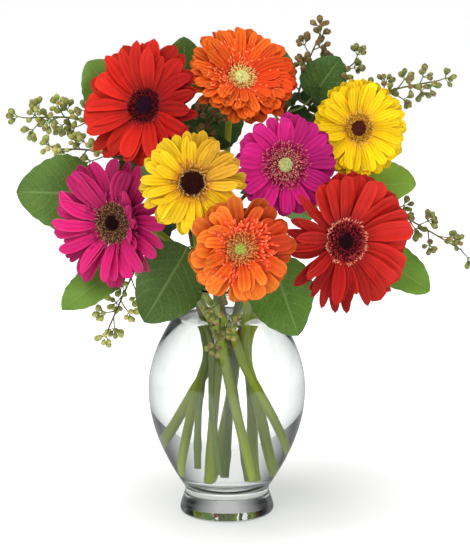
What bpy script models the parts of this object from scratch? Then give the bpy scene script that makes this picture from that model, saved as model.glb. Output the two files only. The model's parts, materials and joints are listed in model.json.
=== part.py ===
"""Gerbera daisies with broad salal leaves and seeded eucalyptus in a footed glass vase.

Metres, +Z up, origin at the centre of the vase's flat underside, front towards -Y.
Sizes in the tables are millimetres and are multiplied by MM where they are used.
"""
import math

import bmesh
import bpy
from mathutils import Matrix, Vector

MM = 0.001
GAP = 0.35  # clearance between pieces that touch

# ---- The vase and its water ----
LIP_RADIUS, LIP_HEIGHT = 52.0, 203.0
NECK_RADIUS, NECK_HEIGHT = 43.3, 180.0
SHOULDER_HEIGHT = 165.0
BELLY_RADIUS, BELLY_HEIGHT = 67.6, 108.0
LOWER_CURVE, UPPER_CURVE = math.radians(0.67), math.radians(0.75)  # cosine law, per mm of height
BODY_START = 24.0  # where the body leaves the foot
FOOT_RADIUS, FOOT_EDGE, WAIST_RADIUS, WAIST_HEIGHT = 40.6, 3.0, 36.2, 20.0
WALL = 3.2
FLOOR_HEIGHT, FLOOR_ROUND = 23.0, 13.0  # thick glass floor, and how high its rounding reaches
WATER_LEVEL = 172.0
VASE_SIDES = 32

# ---- The bundle of stems: a spiral, tied by nothing but the neck ----
BIND_HEIGHT = 152.0
OUTER_RING, INNER_RING = 17.5, 6.0
STEM_RADIUS, STEM_TOP_RADIUS = 3.6, 2.9
STEM_BEVEL = 2  # resolution of the round section
STRAIGHT_POINTS, BENT_POINTS = 3, 9
TUNNEL_CLEARANCE = 0.75

# Flower heads: centre of the eye, facing azimuth and elevation (degrees, -90 faces front),
# petal length to the tips, eye radius, cup (how far the petal tips stand forward of the eye).
HEADS = {
    "red_left": ((-67, -22, 353), -116, 20, 56, 16.5, 10),
    "orange_top": ((12, -8, 375), -74, 36, 48, 14.0, 7),
    "yellow_right": ((109, -22, 335), -76, 6, 42, 14.0, 4),
    "yellow_left": ((-27, -86, 298), -91, 5, 43, 14.5, 5),
    "magenta_right": ((48, -50, 308), -84, 5, 43, 18.0, 5),
    "magenta_left": ((-93, -44, 259), -121, 3, 56, 18.5, 9),
    "orange_front": ((11, -100, 247), -84, -4, 46, 15.0, 7),
    "red_right": ((97, -58, 246), -65, 2, 59, 18.0, 8),
}
GREEN_EYED = ("orange_top", "orange_front", "magenta_right")
PETAL_LOBES, LOBE_SAMPLES, PETAL_RINGS = 15, 3, 2
PETAL_THICKNESS, PETAL_TUCK = 3.0, 1.0  # the petals start this far under the eye's edge
LOBE_NOTCH = 0.22  # depth of the notch between lobes, as a share of the petal length
CUP_CURVE = math.radians(112)  # the dish is a sine arc that ends just past its crest
DISC_DEPTH, DISC_RISE, DISC_RIM = 2.6, 2.4, 4.6
DISC_SIDES = 12
CALYX_DEPTH = 17.0
LANDING = 3.0  # the last stretch of stem, straight into the flower's back

# How each stem sits in the spiral: (ring radius, slot angle in degrees, lean, length below the tie).
BUNDLE = {
    "red_right": (OUTER_RING, 0, 0.42, 98),
    "yellow_right": (OUTER_RING, 40, 0.24, 116),
    "branch_back_right": (OUTER_RING, 80, 0.18, 104),
    "branch_back_left": (OUTER_RING, 120, 0.18, 108),
    "red_left": (OUTER_RING, 160, 0.24, 116),
    "magenta_left": (OUTER_RING, 200, 0.42, 98),
    "yellow_left": (OUTER_RING, 240, 0.22, 118),
    "orange_front": (OUTER_RING, 280, 0.20, 118),
    "magenta_right": (OUTER_RING, 320, 0.22, 118),
    "orange_top": (INNER_RING, 60, 0.12, 119),
    "branch_left": (INNER_RING, 180, 0.12, 116),
    "branch_right": (INNER_RING, 300, 0.12, 113),
}
NECK_TOP = 196.0  # the stems run straight up to here

# Woody branches that carry the greens: the points that each passes above the neck.
BRANCHES = {
    "branch_left": ((-18, 18, 236), (-40, 30, 285), (-50, 28, 345)),
    "branch_right": ((18, 6, 240), (34, 40, 290), (52, 30, 350)),
    "branch_back_right": ((-2, 44, 246), (46, 56, 300), (88, 32, 352)),
    "branch_back_left": ((-34, 34, 245), (-66, 46, 295), (-88, 30, 338)),
}
BRANCH_RADIUS, BRANCH_TOP_RADIUS = 2.6, 1.5

# Leaves: what the stalk grows from and where (a branch and a height, or the vase's neck and an
# angle), the blade's base, its tip, its width, the way its face points (azimuth, elevation), and
# how far the blade arches.
LEAVES = {
    "leaf_left_high": ("branch_back_left", 332, (-90, 16, 352), (-117, 10, 388), 46, (-105, 25), 5),
    "leaf_top_left": ("branch_left", 330, (-36, 30, 358), (-36, 20, 408), 42, (-95, 20), 5),
    "leaf_top_right": ("branch_right", 335, (37, 30, 362), (42, 20, 401), 40, (-80, 20), 5),
    "leaf_upper_right": ("branch_right", 345, (72, 24, 356), (96, 14, 391), 42, (-85, 20), 4),
    "leaf_right": ("branch_back_right", 292, (118, 12, 282), (160, 0, 286), 42, (-80, 30), 5),
    "leaf_right_low": ("branch_back_right", 272, (118, 10, 226), (173, -4, 194), 46, (-75, 35), 6),
    "leaf_front_right": ("neck", -56, (38, -46, 228), (59, -72, 170), 50, (-70, 15), 6),
    "leaf_front_left": ("neck", -128, (-32, -40, 238), (-68, -66, 180), 54, (-105, 20), 6),
    "leaf_left_low": ("neck", -176, (-88, -18, 218), (-137, -42, 185), 40, (-110, 35), 5),
    "leaf_left": ("branch_back_left", 288, (-110, 4, 276), (-177, -8, 280), 66, (-97, 12), 7),
    "leaf_centre": ("branch_left", 298, (-26, 42, 318), (12, 44, 354), 50, (-80, 15), 4),
    "leaf_back_left": ("branch_left", 306, (-50, 62, 300), (-70, 92, 262), 50, (118, 30), 7),
    "leaf_back_right": ("branch_right", 280, (46, 72, 266), (72, 100, 236), 50, (62, 30), 7),
}
NECK_FOOT_RADIUS, NECK_FOOT_HEIGHT = 34.0, 196.0
LEAF_THICKNESS, STALK_WIDTH = 0.9, 2.4
LEAF_ROWS, LEAF_COLUMNS, STALK_ROWS = 7, 4, 3
LEAF_FOLD = 0.16  # how steeply the two halves rise from the midrib

# Seeded eucalyptus: what each sprig grows from and where, its end, how many tufts of seeds it
# carries, and how far they stand from its twig.
SPRIGS = {
    "sprig_left_high": ("branch_back_left", 333, (-163, 6, 341), 4, 15),
    "sprig_left": ("branch_back_left", 302, (-141, 12, 314), 3, 15),
    "sprig_top_right": ("branch_right", 338, (78, 32, 407), 4, 16),
    "sprig_right_top": ("branch_back_right", 346, (172, 8, 371), 4, 13),
    "sprig_upper_right": ("branch_back_right", 330, (106, 24, 384), 3, 13),
    "sprig_right": ("branch_back_right", 290, (196, -8, 232), 4, 15),
    "sprig_left_low": ("branch_back_left", 250, (-98, -28, 170), 4, 15),
    "sprig_centre": ("branch_back_left", 262, (-10, 2, 352), 3, 13),
    "sprig_front": ("neck", -94, (-6, -78, 171), 4, 13),
}
TWIG_RADIUS, TWIG_POINTS, TWIG_BEVEL = 0.9, 6, 1
SEED_RADIUS, SEED_LENGTH = 2.3, 9.0
SEEDS_PER_TUFT, SEED_SPREAD = 3, 0.85
FIRST_TUFT, LAST_TUFT = 0.5, 0.94  # where the side tufts stand, as shares of the sprig's length
TUFT_TURN = 2.4  # each side tuft stands this much further round the twig, in radians
DROOP = 0.3  # how far a sprig's end turns down
LEAP, NECK_LEAP = 0.8, 2.6  # how boldly a sprig sets off from a branch, and out over the lip

PAINTS = {
    "glass": ((0.93, 0.96, 0.95), 0.03), "water": ((0.90, 0.95, 0.93), 0.05),
    "stem": ((0.24, 0.38, 0.07), 0.5), "bark": ((0.20, 0.19, 0.08), 0.7),
    "leaf": ((0.09, 0.20, 0.03), 0.45), "seed": ((0.34, 0.38, 0.12), 0.6),
    "red": ((0.75, 0.02, 0.01), 0.6), "orange": ((0.95, 0.20, 0.01), 0.6),
    "yellow": ((0.95, 0.68, 0.01), 0.6), "magenta": ((0.70, 0.02, 0.22), 0.6),
    "dark_eye": ((0.05, 0.01, 0.01), 0.8), "green_eye": ((0.45, 0.50, 0.12), 0.8),
}


# ---- Helpers ----
def clear_scene():
    for old in list(bpy.data.objects):
        bpy.data.objects.remove(old, do_unlink=True)


def new_collection(name):
    group = bpy.data.collections.new(name)
    bpy.context.scene.collection.children.link(group)
    return group


def paint(obj, name):
    """Gives an object the named finish, made once."""
    material = bpy.data.materials.get(name)
    if material is None:
        colour, roughness = PAINTS[name]
        material = bpy.data.materials.new(name)
        material.use_nodes = True
        shader = material.node_tree.nodes["Principled BSDF"]
        shader.inputs["Base Color"].default_value = (*colour, 1.0)
        shader.inputs["Roughness"].default_value = roughness
    obj.data.materials.append(material)


def mesh_object(name, points, faces, edges=()):
    """A mesh object from points in millimetres."""
    mesh = bpy.data.meshes.new(name)
    mesh.from_pydata([tuple(p * MM for p in point) for point in points], list(edges), faces)
    obj = bpy.data.objects.new(name, mesh)
    bouquet.objects.link(obj)
    return obj


def direction(azimuth, elevation):
    """Unit vector from two angles in degrees."""
    a, e = math.radians(azimuth), math.radians(elevation)
    return Vector((math.cos(a) * math.cos(e), math.sin(a) * math.cos(e), math.sin(e)))


def turned(name, profile, sides):
    """A solid of revolution: the profile (radius, height) runs down the outer side, axis to axis."""
    points = [(radius, 0.0, height) for radius, height in profile]
    obj = mesh_object(name, points, [], [(i, i + 1) for i in range(len(points) - 1)])
    screw = obj.modifiers.new("Turn", "SCREW")
    screw.steps = screw.render_steps = sides
    screw.use_merge_vertices = True
    screw.merge_threshold = 0.00005
    screw.use_smooth_shade = True
    return obj


def hermite(start, start_slope, end, end_slope, share):
    """Cubic that leaves start and reaches end with the two given slopes; share runs 0 to 1."""
    s = share
    return (
        start * (2 * s**3 - 3 * s**2 + 1)
        + start_slope * (s**3 - 2 * s**2 + s)
        + end * (3 * s**2 - 2 * s**3)
        + end_slope * (s**3 - s**2)
    )


def smooth_path(knots, count):
    """Points along a Catmull-Rom curve through the knots, evenly shared between its spans."""
    knots = [Vector(k) for k in knots]
    ends = [2 * knots[0] - knots[1], *knots, 2 * knots[-1] - knots[-2]]
    path = []
    for step in range(count):
        place = step * (len(knots) - 1) / (count - 1)
        span = min(int(place), len(knots) - 2)
        before, start, end, after = ends[span:span + 4]
        path.append(hermite(start, (end - before) / 2, end, (after - start) / 2, place - span))
    return path


def tube(name, path, radii, resolution):
    """A solid tube along the path, tapering as the radii say, as a curve with filled caps."""
    curve = bpy.data.curves.new(name, "CURVE")
    curve.dimensions = "3D"
    curve.bevel_depth = MM
    curve.bevel_resolution = resolution
    curve.use_fill_caps = True
    spline = curve.splines.new("POLY")
    spline.points.add(len(path) - 1)
    for point, place, radius in zip(spline.points, path, radii):
        point.co = (*(place * MM), 1.0)
        point.radius = radius
    obj = bpy.data.objects.new(name, curve)
    bouquet.objects.link(obj)
    return obj


def as_mesh(curve_object, name, group):
    """Replaces a curve with a closed mesh object of the same shape, which a Boolean can use."""
    graph = bpy.context.evaluated_depsgraph_get()
    mesh = bpy.data.meshes.new_from_object(curve_object.evaluated_get(graph))
    place = curve_object.matrix_world.copy()
    bpy.data.objects.remove(curve_object)
    shape = bmesh.new()
    shape.from_mesh(mesh)
    bmesh.ops.remove_doubles(shape, verts=shape.verts, dist=0.00001)
    bmesh.ops.recalc_face_normals(shape, faces=shape.faces)
    shape.to_mesh(mesh)
    shape.free()
    made = bpy.data.objects.new(name, mesh)
    made.matrix_world = place
    group.objects.link(made)
    return made


def keep_as_cutter(obj):
    """Puts a helper solid away where it shapes other pieces but isn't one itself."""
    if obj.name not in cutters.objects:
        cutters.objects.link(obj)
    obj.hide_render = True
    obj.display_type = "WIRE"


# ---- Vase and water ----
def outer_radius(height):
    """The body's outer radius: a cosine below and above the belly, a cubic into the neck, a flared lip."""
    if height <= BELLY_HEIGHT:
        return BELLY_RADIUS * math.cos(LOWER_CURVE * (BELLY_HEIGHT - height))
    if height <= SHOULDER_HEIGHT:
        return BELLY_RADIUS * math.cos(UPPER_CURVE * (height - BELLY_HEIGHT))
    if height <= NECK_HEIGHT:
        rise = NECK_HEIGHT - SHOULDER_HEIGHT
        turn = UPPER_CURVE * (SHOULDER_HEIGHT - BELLY_HEIGHT)
        slope = -BELLY_RADIUS * UPPER_CURVE * math.sin(turn)
        start = BELLY_RADIUS * math.cos(turn)
        return hermite(start, slope * rise, NECK_RADIUS, 0.0, (height - SHOULDER_HEIGHT) / rise)
    flare = (height - NECK_HEIGHT) / (LIP_HEIGHT - NECK_HEIGHT)
    return NECK_RADIUS + (LIP_RADIUS - NECK_RADIUS) * flare**2


def inner_radius(height, gap=0.0):
    """The hollow's radius: a wall's thickness inside, with a rounded floor."""
    radius = outer_radius(height) - WALL - gap
    floor = FLOOR_HEIGHT + gap
    if height < floor + FLOOR_ROUND:
        radius *= math.sqrt(max(0.0, 1 - (1 - (height - floor) / FLOOR_ROUND) ** 2))
    return radius


def heights(low, high, count):
    return [low + (high - low) * i / (count - 1) for i in range(count)]


def floor_heights(floor):
    """Heights up the rounded floor, closer together where it is flattest."""
    steps = 5
    return [floor + FLOOR_ROUND * (1 - math.cos(math.pi / 2 * i / steps)) for i in range(steps + 1)]


def make_vase():
    lip_middle = LIP_RADIUS - WALL / 2
    lip = [
        (lip_middle + WALL / 2 * math.cos(a), LIP_HEIGHT - WALL / 2 + WALL / 2 * math.sin(a))
        for a in (math.radians(d) for d in (150, 110, 70, 30))
    ]
    outside = [(outer_radius(h), h) for h in heights(LIP_HEIGHT - 4, BODY_START, 16)]
    foot = [
        (WAIST_RADIUS, WAIST_HEIGHT), (37.6, 14.0), (40.0, 7.0),
        (FOOT_RADIUS, FOOT_EDGE + 0.6), (39.9, 1.0), (39.0, 0.0), (0.0, 0.0),
    ]
    inside = [(inner_radius(h), h) for h in floor_heights(FLOOR_HEIGHT)]
    inside[0] = (0.0, FLOOR_HEIGHT)
    inside += [(inner_radius(h), h) for h in heights(FLOOR_HEIGHT + FLOOR_ROUND + 8, LIP_HEIGHT - 4, 12)]
    vase = turned("vase", inside + lip + outside + foot, VASE_SIDES)
    paint(vase, "glass")


def make_water(stems):
    """The water's own solid: the hollow up to the water line, less a clear tunnel for each stem."""
    floor = FLOOR_HEIGHT + GAP
    side = [(inner_radius(h, GAP), h) for h in heights(WATER_LEVEL, floor + FLOOR_ROUND + 8, 12)]
    bottom = [(inner_radius(h, GAP), h) for h in reversed(floor_heights(floor))]
    bottom[-1] = (0.0, floor)
    water = turned("water", [(0.0, WATER_LEVEL)] + side + bottom, VASE_SIDES)
    paint(water, "water")
    for name, (path, radii) in stems.items():
        straight = path[:STRAIGHT_POINTS]
        foot = straight[0] + (straight[0] - straight[1]).normalized() * TUNNEL_CLEARANCE * 1.5
        wide = [radius + TUNNEL_CLEARANCE for radius in radii]
        tunnel = tube(name + "_tunnel", [foot, *straight[1:]], wide, STEM_BEVEL)
        cutter = as_mesh(tunnel, name + "_tunnel", cutters)
        keep_as_cutter(cutter)
        cut = water.modifiers.new(name, "BOOLEAN")
        cut.operation = "DIFFERENCE"
        cut.object = cutter


# ---- Stems ----
def bundle_line(name, height):
    """Where a stem's straight run is at a height. All the lines lean the same way round, so none meet."""
    ring, slot, lean, _ = BUNDLE[name]
    out = direction(slot, 0)
    side = direction(slot + 90, 0)
    place = side * ring + out * (lean * (height - BIND_HEIGHT))
    return Vector((place.x, place.y, height))


def straight_run(name):
    """The stem from its cut end up through the vase's neck."""
    below = BUNDLE[name][3]
    return [bundle_line(name, h) for h in heights(BIND_HEIGHT - below, NECK_TOP, STRAIGHT_POINTS)]


def flower_stem(name, end, facing):
    """Straight through the vase, then a smooth bend that meets the flower's back squarely."""
    path = straight_run(name)
    rising = (path[-1] - path[-2]).normalized()
    landing = end - facing * LANDING
    reach = (landing - path[-1]).length
    bend = [
        hermite(path[-1], rising * reach * 1.1, landing, facing * reach * 0.9, i / BENT_POINTS)
        for i in range(1, BENT_POINTS + 1)
    ]
    return path + bend + [end]


def taper(path, low, high):
    return [low + (high - low) * i / (len(path) - 1) for i in range(len(path))]


# ---- Flowers ----
def head_frame(centre, azimuth, elevation):
    """Places a head modelled facing +Z at the origin."""
    facing = direction(azimuth, elevation)
    turn = facing.to_track_quat("Z", "Y").to_matrix().to_4x4()
    return Matrix.Translation(Vector(centre) * MM) @ turn


def make_petals(name, reach, eye, cup, frame, colour):
    """One ring of ray petals as a scalloped dish: each lobe is a petal's round end."""
    around = PETAL_LOBES * LOBE_SAMPLES
    inner = eye - PETAL_TUCK
    points, faces = [], []
    for ring in range(PETAL_RINGS + 1):
        share = ring / PETAL_RINGS
        for step in range(around):
            lobe = abs(math.sin(math.pi * step / LOBE_SAMPLES))
            outer = reach - (reach - inner) * LOBE_NOTCH * (1 - lobe)
            radius = inner + (outer - inner) * share
            angle = 2 * math.pi * step / around
            height = cup * math.sin(share * CUP_CURVE)
            points.append((radius * math.cos(angle), radius * math.sin(angle), height))
    for ring in range(PETAL_RINGS):
        for step in range(around):
            here, after = ring * around + step, ring * around + (step + 1) % around
            faces.append((here, here + around, after + around, after))
    obj = mesh_object(name + "_petals", points, faces)
    obj.matrix_world = frame
    shell = obj.modifiers.new("Depth", "SOLIDIFY")
    shell.thickness = PETAL_THICKNESS * MM
    shell.offset = 0.0
    obj.data.shade_smooth()
    paint(obj, colour)


def make_disc(name, eye, frame, finish):
    """The eye: a low crater of tiny florets on its receptacle."""
    radius = eye - PETAL_TUCK - 1.5 * GAP
    profile = [
        (0.0, DISC_RISE), (radius * 0.35, DISC_RISE + 0.4), (radius * 0.72, DISC_RIM),
        (radius * 0.94, DISC_RIM - 1.2), (radius, 0.8), (radius, -DISC_DEPTH), (0.0, -DISC_DEPTH),
    ]
    disc = turned(name + "_disc", profile, DISC_SIDES)
    disc.matrix_world = frame
    paint(disc, finish)


def make_calyx(name, eye, frame):
    """The green cup behind the petals, narrowing to the stem."""
    top = -DISC_DEPTH - GAP
    profile = [
        (0.0, top), (eye * 0.86, top), (eye * 0.88, top - 1.6), (eye * 0.70, top - 6.5),
        (STEM_TOP_RADIUS + 1.6, -CALYX_DEPTH + 1.5), (STEM_TOP_RADIUS + 0.4, -CALYX_DEPTH),
        (0.0, -CALYX_DEPTH),
    ]
    calyx = turned(name + "_calyx", profile, DISC_SIDES)
    calyx.matrix_world = frame
    paint(calyx, "stem")


def make_flower(name):
    """Makes one gerbera and returns its stem's path and radii."""
    centre, azimuth, elevation, reach, eye, cup = HEADS[name]
    frame = head_frame(centre, azimuth, elevation)
    colour = name.split("_")[0]
    make_petals(name, reach, eye, cup, frame, colour)
    make_disc(name, eye, frame, "green_eye" if name in GREEN_EYED else "dark_eye")
    make_calyx(name, eye, frame)
    facing = direction(azimuth, elevation)
    end = Vector(centre) - facing * (CALYX_DEPTH + GAP)
    path = flower_stem(name, end, facing)
    radii = taper(path, STEM_RADIUS, STEM_TOP_RADIUS)
    paint(tube(name + "_stem", path, radii, STEM_BEVEL), "stem")
    return path, radii


def make_branch(name):
    path = straight_run(name)
    path += smooth_path([path[-1], *BRANCHES[name]], BENT_POINTS)[1:]
    radii = taper(path, BRANCH_RADIUS, BRANCH_TOP_RADIUS)
    paint(tube(name, path, radii, STEM_BEVEL), "bark")
    return path, radii


def foot_of(holder, where, towards):
    """Where a stalk or sprig starts and the way it sets off: up from the neck, or off a branch."""
    if holder == "neck":
        place = direction(where, 0) * NECK_FOOT_RADIUS
        return Vector((place.x, place.y, NECK_FOOT_HEIGHT)), Vector((0, 0, 1))
    path, radii = all_stems[holder]
    span = next(i for i in range(len(path) - 1) if path[i + 1].z > where)
    start, end = path[span], path[span + 1]
    place = start.lerp(end, (where - start.z) / (end.z - start.z))
    along = (end - start).normalized()
    away = towards - place
    away = (away - along * away.dot(along)).normalized()
    return place + away * (radii[span] + GAP + STALK_WIDTH / 2), (away * 2 + along).normalized()


# ---- Leaves ----
def leaf_half_width(share, width):
    """Half the blade's width along it: widest a little below the middle, pointed at the tip."""
    return width / 2 * math.sin(math.pi * share**0.8) ** 0.75 * (1.04 - 0.12 * share)


def make_leaf(name):
    """A blade folded lightly along its midrib, arched, on a stalk, as one thin shell."""
    holder, where, base, tip, width, facing, arch = LEAVES[name]
    base, tip, face = Vector(base), Vector(tip), direction(*facing)
    foot, heading = foot_of(holder, where, base)
    along = (tip - base).normalized()
    across = face.cross(along).normalized()
    face = along.cross(across).normalized()
    length, stalk = (tip - base).length, (base - foot).length
    spine, halves = [], []
    for row in range(STALK_ROWS):
        share = row / STALK_ROWS
        spine.append(hermite(foot, heading * stalk, base, along * stalk, share))
        halves.append(STALK_WIDTH / 2)
    for row in range(LEAF_ROWS + 1):
        share = row / LEAF_ROWS
        spine.append(base + along * (length * share) + face * (arch * math.sin(math.pi * share)))
        narrowest = 0.5 if row == LEAF_ROWS else STALK_WIDTH / 2
        halves.append(max(leaf_half_width(share, width), narrowest))
    points, faces = [], []
    for place, half in zip(spine, halves):
        for column in range(LEAF_COLUMNS + 1):
            side = 2 * column / LEAF_COLUMNS - 1
            points.append(place + across * (side * half) + face * (abs(side) * half * LEAF_FOLD))
    for row in range(len(spine) - 1):
        for column in range(LEAF_COLUMNS):
            here = row * (LEAF_COLUMNS + 1) + column
            above = here + LEAF_COLUMNS + 1
            faces.append((here, here + 1, above + 1, above))
    leaf = mesh_object(name, points, faces)
    shell = leaf.modifiers.new("Depth", "SOLIDIFY")
    shell.thickness = LEAF_THICKNESS * MM
    shell.offset = 0.0
    leaf.data.shade_smooth()
    paint(leaf, "leaf")


# ---- Seeded eucalyptus ----
def add_rod(shape, start, end, low, high, sides):
    """Adds a tapered round rod to a bmesh."""
    along = end - start
    turn = along.to_track_quat("Z", "Y").to_matrix().to_4x4()
    bmesh.ops.create_cone(
        shape, cap_ends=True, segments=sides, radius1=low * MM, radius2=high * MM,
        depth=along.length * MM, matrix=Matrix.Translation((start + end) / 2 * MM) @ turn,
    )


def add_tuft(shape, place, heading):
    """Adds a small umbel: long seed capsules that spread from one point."""
    spread = heading.orthogonal().normalized() * SEED_SPREAD
    for seed in range(SEEDS_PER_TUFT):
        turn = Matrix.Rotation(2 * math.pi * seed / SEEDS_PER_TUFT, 3, heading)
        lean = (heading + turn @ spread).normalized()
        upright = lean.to_track_quat("Z", "Y").to_matrix().to_4x4()
        long = Matrix.Diagonal((SEED_RADIUS, SEED_RADIUS, SEED_LENGTH / 2, 1.0))
        middle = Matrix.Translation((place + lean * (SEED_LENGTH / 2 - 0.6)) * MM)
        bmesh.ops.create_icosphere(shape, subdivisions=1, radius=MM, matrix=middle @ upright @ long)


def make_sprig(name):
    """A drooping twig with side twigs that each end in a tuft of seeds, joined into one solid."""
    holder, where, end, tufts, spread = SPRIGS[name]
    end = Vector(end)
    foot, heading = foot_of(holder, where, end)
    reach = (end - foot).length
    rise = heading * reach * (NECK_LEAP if holder == "neck" else LEAP)
    fall = (end - foot) - Vector((0, 0, 1)) * reach * DROOP
    path = [hermite(foot, rise, end, fall, i / (TWIG_POINTS - 1)) for i in range(TWIG_POINTS)]
    tube(name, path, taper(path, TWIG_RADIUS, TWIG_RADIUS * 0.8), TWIG_BEVEL)
    sprig = as_mesh(bouquet.objects[name], name, bouquet)
    shape = bmesh.new()
    ending = (path[-1] - path[-2]).normalized()
    add_tuft(shape, path[-1] - ending, ending)
    for tuft in range(tufts - 1):
        place = (FIRST_TUFT + (LAST_TUFT - FIRST_TUFT) * tuft / (tufts - 1)) * (TWIG_POINTS - 1)
        before, after = path[int(place)], path[int(place) + 1]
        along = (after - before).normalized()
        joint = before.lerp(after, place % 1)
        turn = Matrix.Rotation(TUFT_TURN * tuft, 3, along)
        out = (turn @ along.orthogonal().normalized() + along * 0.6).normalized()
        tip = joint + out * spread
        add_rod(shape, joint, tip, TWIG_RADIUS * 0.7, TWIG_RADIUS * 0.6, 4)
        add_tuft(shape, tip - out * 0.5, out)
    tuft_mesh = bpy.data.meshes.new(name + "_tufts")
    shape.to_mesh(tuft_mesh)
    shape.free()
    helper = bpy.data.objects.new(name + "_tufts", tuft_mesh)
    keep_as_cutter(helper)
    join = sprig.modifiers.new("Join", "BOOLEAN")
    join.operation = "UNION"
    join.object = helper
    join.use_self = True
    paint(sprig, "seed")


clear_scene()
bouquet = new_collection("gerbera_bouquet")
cutters = new_collection("cutters")
all_stems = {name: make_flower(name) for name in HEADS}
all_stems.update({name: make_branch(name) for name in BRANCHES})
for leaf_name in LEAVES:
    make_leaf(leaf_name)
for sprig_name in SPRIGS:
    make_sprig(sprig_name)
make_vase()
make_water(all_stems)
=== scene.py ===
# %% [markdown]
# # Gerbera daisies in a glass vase
#
# A florist's bouquet is many thin, curved, slightly different things. Nearly every one of them here,
# from a stem to a petal to a seed capsule, is the same idea: a cross-section carried along a path. The
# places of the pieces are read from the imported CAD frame, and this script only gives them their looks.

# %% Load the frame
import json
import math

import bpy
import numpy as np
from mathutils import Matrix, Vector


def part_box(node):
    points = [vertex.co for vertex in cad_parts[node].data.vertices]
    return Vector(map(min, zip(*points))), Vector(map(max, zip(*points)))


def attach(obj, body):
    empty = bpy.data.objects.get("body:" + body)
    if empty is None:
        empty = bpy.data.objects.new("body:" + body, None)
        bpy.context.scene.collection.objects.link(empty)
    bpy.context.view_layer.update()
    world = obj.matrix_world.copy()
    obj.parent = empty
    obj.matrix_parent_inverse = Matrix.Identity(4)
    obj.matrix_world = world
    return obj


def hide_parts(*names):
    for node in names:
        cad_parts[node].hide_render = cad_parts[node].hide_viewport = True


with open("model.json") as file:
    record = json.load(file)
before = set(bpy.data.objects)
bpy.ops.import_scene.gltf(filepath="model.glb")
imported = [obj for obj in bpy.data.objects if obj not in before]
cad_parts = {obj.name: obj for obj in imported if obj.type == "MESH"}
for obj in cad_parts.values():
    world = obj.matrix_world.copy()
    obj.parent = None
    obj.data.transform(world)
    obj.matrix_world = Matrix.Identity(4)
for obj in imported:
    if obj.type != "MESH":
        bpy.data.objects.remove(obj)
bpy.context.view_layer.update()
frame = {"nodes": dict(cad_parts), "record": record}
MM = 0.001
UP = np.array([0.0, 0.0, 1.0])

# %% [markdown]
# ## Reading the frame
#
# A CAD node is a bag of triangles. Its distinct corners are enough to find where a piece sits: the
# mean of a turned part's corners lies on its axis, the corner farthest from the middle of a twig is its
# cut foot, and so on. Arrays of points are rows of x, y, z in metres.

# %% Points, lengths and unit vectors
def node_points(name):
    """The distinct corners of a CAD node."""
    mesh = frame["nodes"][name].data
    flat = np.empty(len(mesh.vertices) * 3)
    mesh.vertices.foreach_get("co", flat)
    return np.unique(flat.reshape(-1, 3).round(6), axis=0)


def unit(vectors):
    """Each vector divided by its own length."""
    return vectors / np.linalg.norm(vectors, axis=-1, keepdims=True)


def full_turn(count):
    """Equal angles once round, in radians."""
    return 2 * np.pi * np.arange(count) / count


def own_chance(name, shift=0):
    """A source of chance that depends only on a name, so that each piece comes out the same each run."""
    return np.random.default_rng(shift + sum(map(ord, name)))


def nearest_mean(points, place, count):
    """The mean of the count points nearest to the place, and the points that are left."""
    order = np.argsort(np.linalg.norm(points - place, axis=1))
    return points[order[:count]].mean(axis=0), points[order[count:]]


def ring_centres(points, start, per_ring, rings):
    """Walks along a faceted tube from its first ring: the next ring is always the nearest one left."""
    centre, left = nearest_mean(points, start, per_ring)
    centres = [centre]
    while len(left) >= per_ring and len(centres) < rings:
        centre, left = nearest_mean(left, centre, per_ring)
        centres.append(centre)
    return np.array(centres)


# %% [markdown]
# ## Smooth routes
#
# The CAD tubes turn a little at each ring. A cubic through the same centres, with the slope at each one
# taken from its two neighbours, gives back the smooth line that grew in nature. Distance along the
# chords is the parameter, so long and short spans join without a kink.

# %% A smooth line through points
def smooth_route(knots, count):
    """Cubic Hermite through the knots: value and slope agree at each knot, and the slope there is the
    mean of the slopes of the two chords, each weighted by the other chord's length."""
    knots = np.asarray(knots, float)
    chords = np.linalg.norm(np.diff(knots, axis=0), axis=1)
    along = np.concatenate([[0.0], np.cumsum(chords)])
    slopes = np.gradient(knots, along, axis=0)
    place = np.linspace(0.0, along[-1], count)
    span = np.clip(np.searchsorted(along, place, side="right") - 1, 0, len(chords) - 1)
    size = chords[span][:, None]
    s = (place - along[span])[:, None] / size
    return (
        knots[span] * (2 * s**3 - 3 * s**2 + 1)
        + slopes[span] * size * (s**3 - 2 * s**2 + s)
        + knots[span + 1] * (3 * s**2 - 2 * s**3)
        + slopes[span + 1] * size * (s**3 - s**2)
    )


def carried_frames(route, first_side):
    """Tangent, side and lift at each point of a route. The side vector is carried from point to point
    and only made square to the new tangent, so the section never twists by itself."""
    tangents = unit(np.gradient(route, axis=0))
    sides = []
    side = np.asarray(first_side, float)
    for tangent in tangents:
        side = unit(side - tangent * np.dot(side, tangent))
        sides.append(side)
    sides = np.array(sides)
    return tangents, sides, np.cross(tangents, sides)


# %% [markdown]
# ## Shells: many closed tubes in one array
#
# Petals, bracts, floret strands, seeds and twigs are all closed tubes, some round and some pressed
# flat. A batch of them is one array with four axes: which tube, row along it, point round it, and
# x, y, z. One function turns such a batch into faces with both ends closed, and several batches are
# joined into one mesh, so that all the petals of a head, or a whole eye, are one piece.

# %% From batches of tubes to one mesh
def tube_batch(points, tint, number=0.0):
    """A batch of tubes, with a colour per point and a running number for the pattern's variety."""
    copies, rows, around = points.shape[:3]
    along = np.broadcast_to(np.linspace(0, 1, rows)[None, :, None], (copies, rows, around))
    across = np.broadcast_to(np.linspace(0, 1, around)[None, None, :], (copies, rows, around))
    which = np.arange(copies)[:, None, None] + number
    colour = np.broadcast_to(np.asarray(tint, float), (copies, rows, around, 3))
    return points, np.stack([along, across * 0.9 + 0.05 + which], axis=-1), colour


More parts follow.
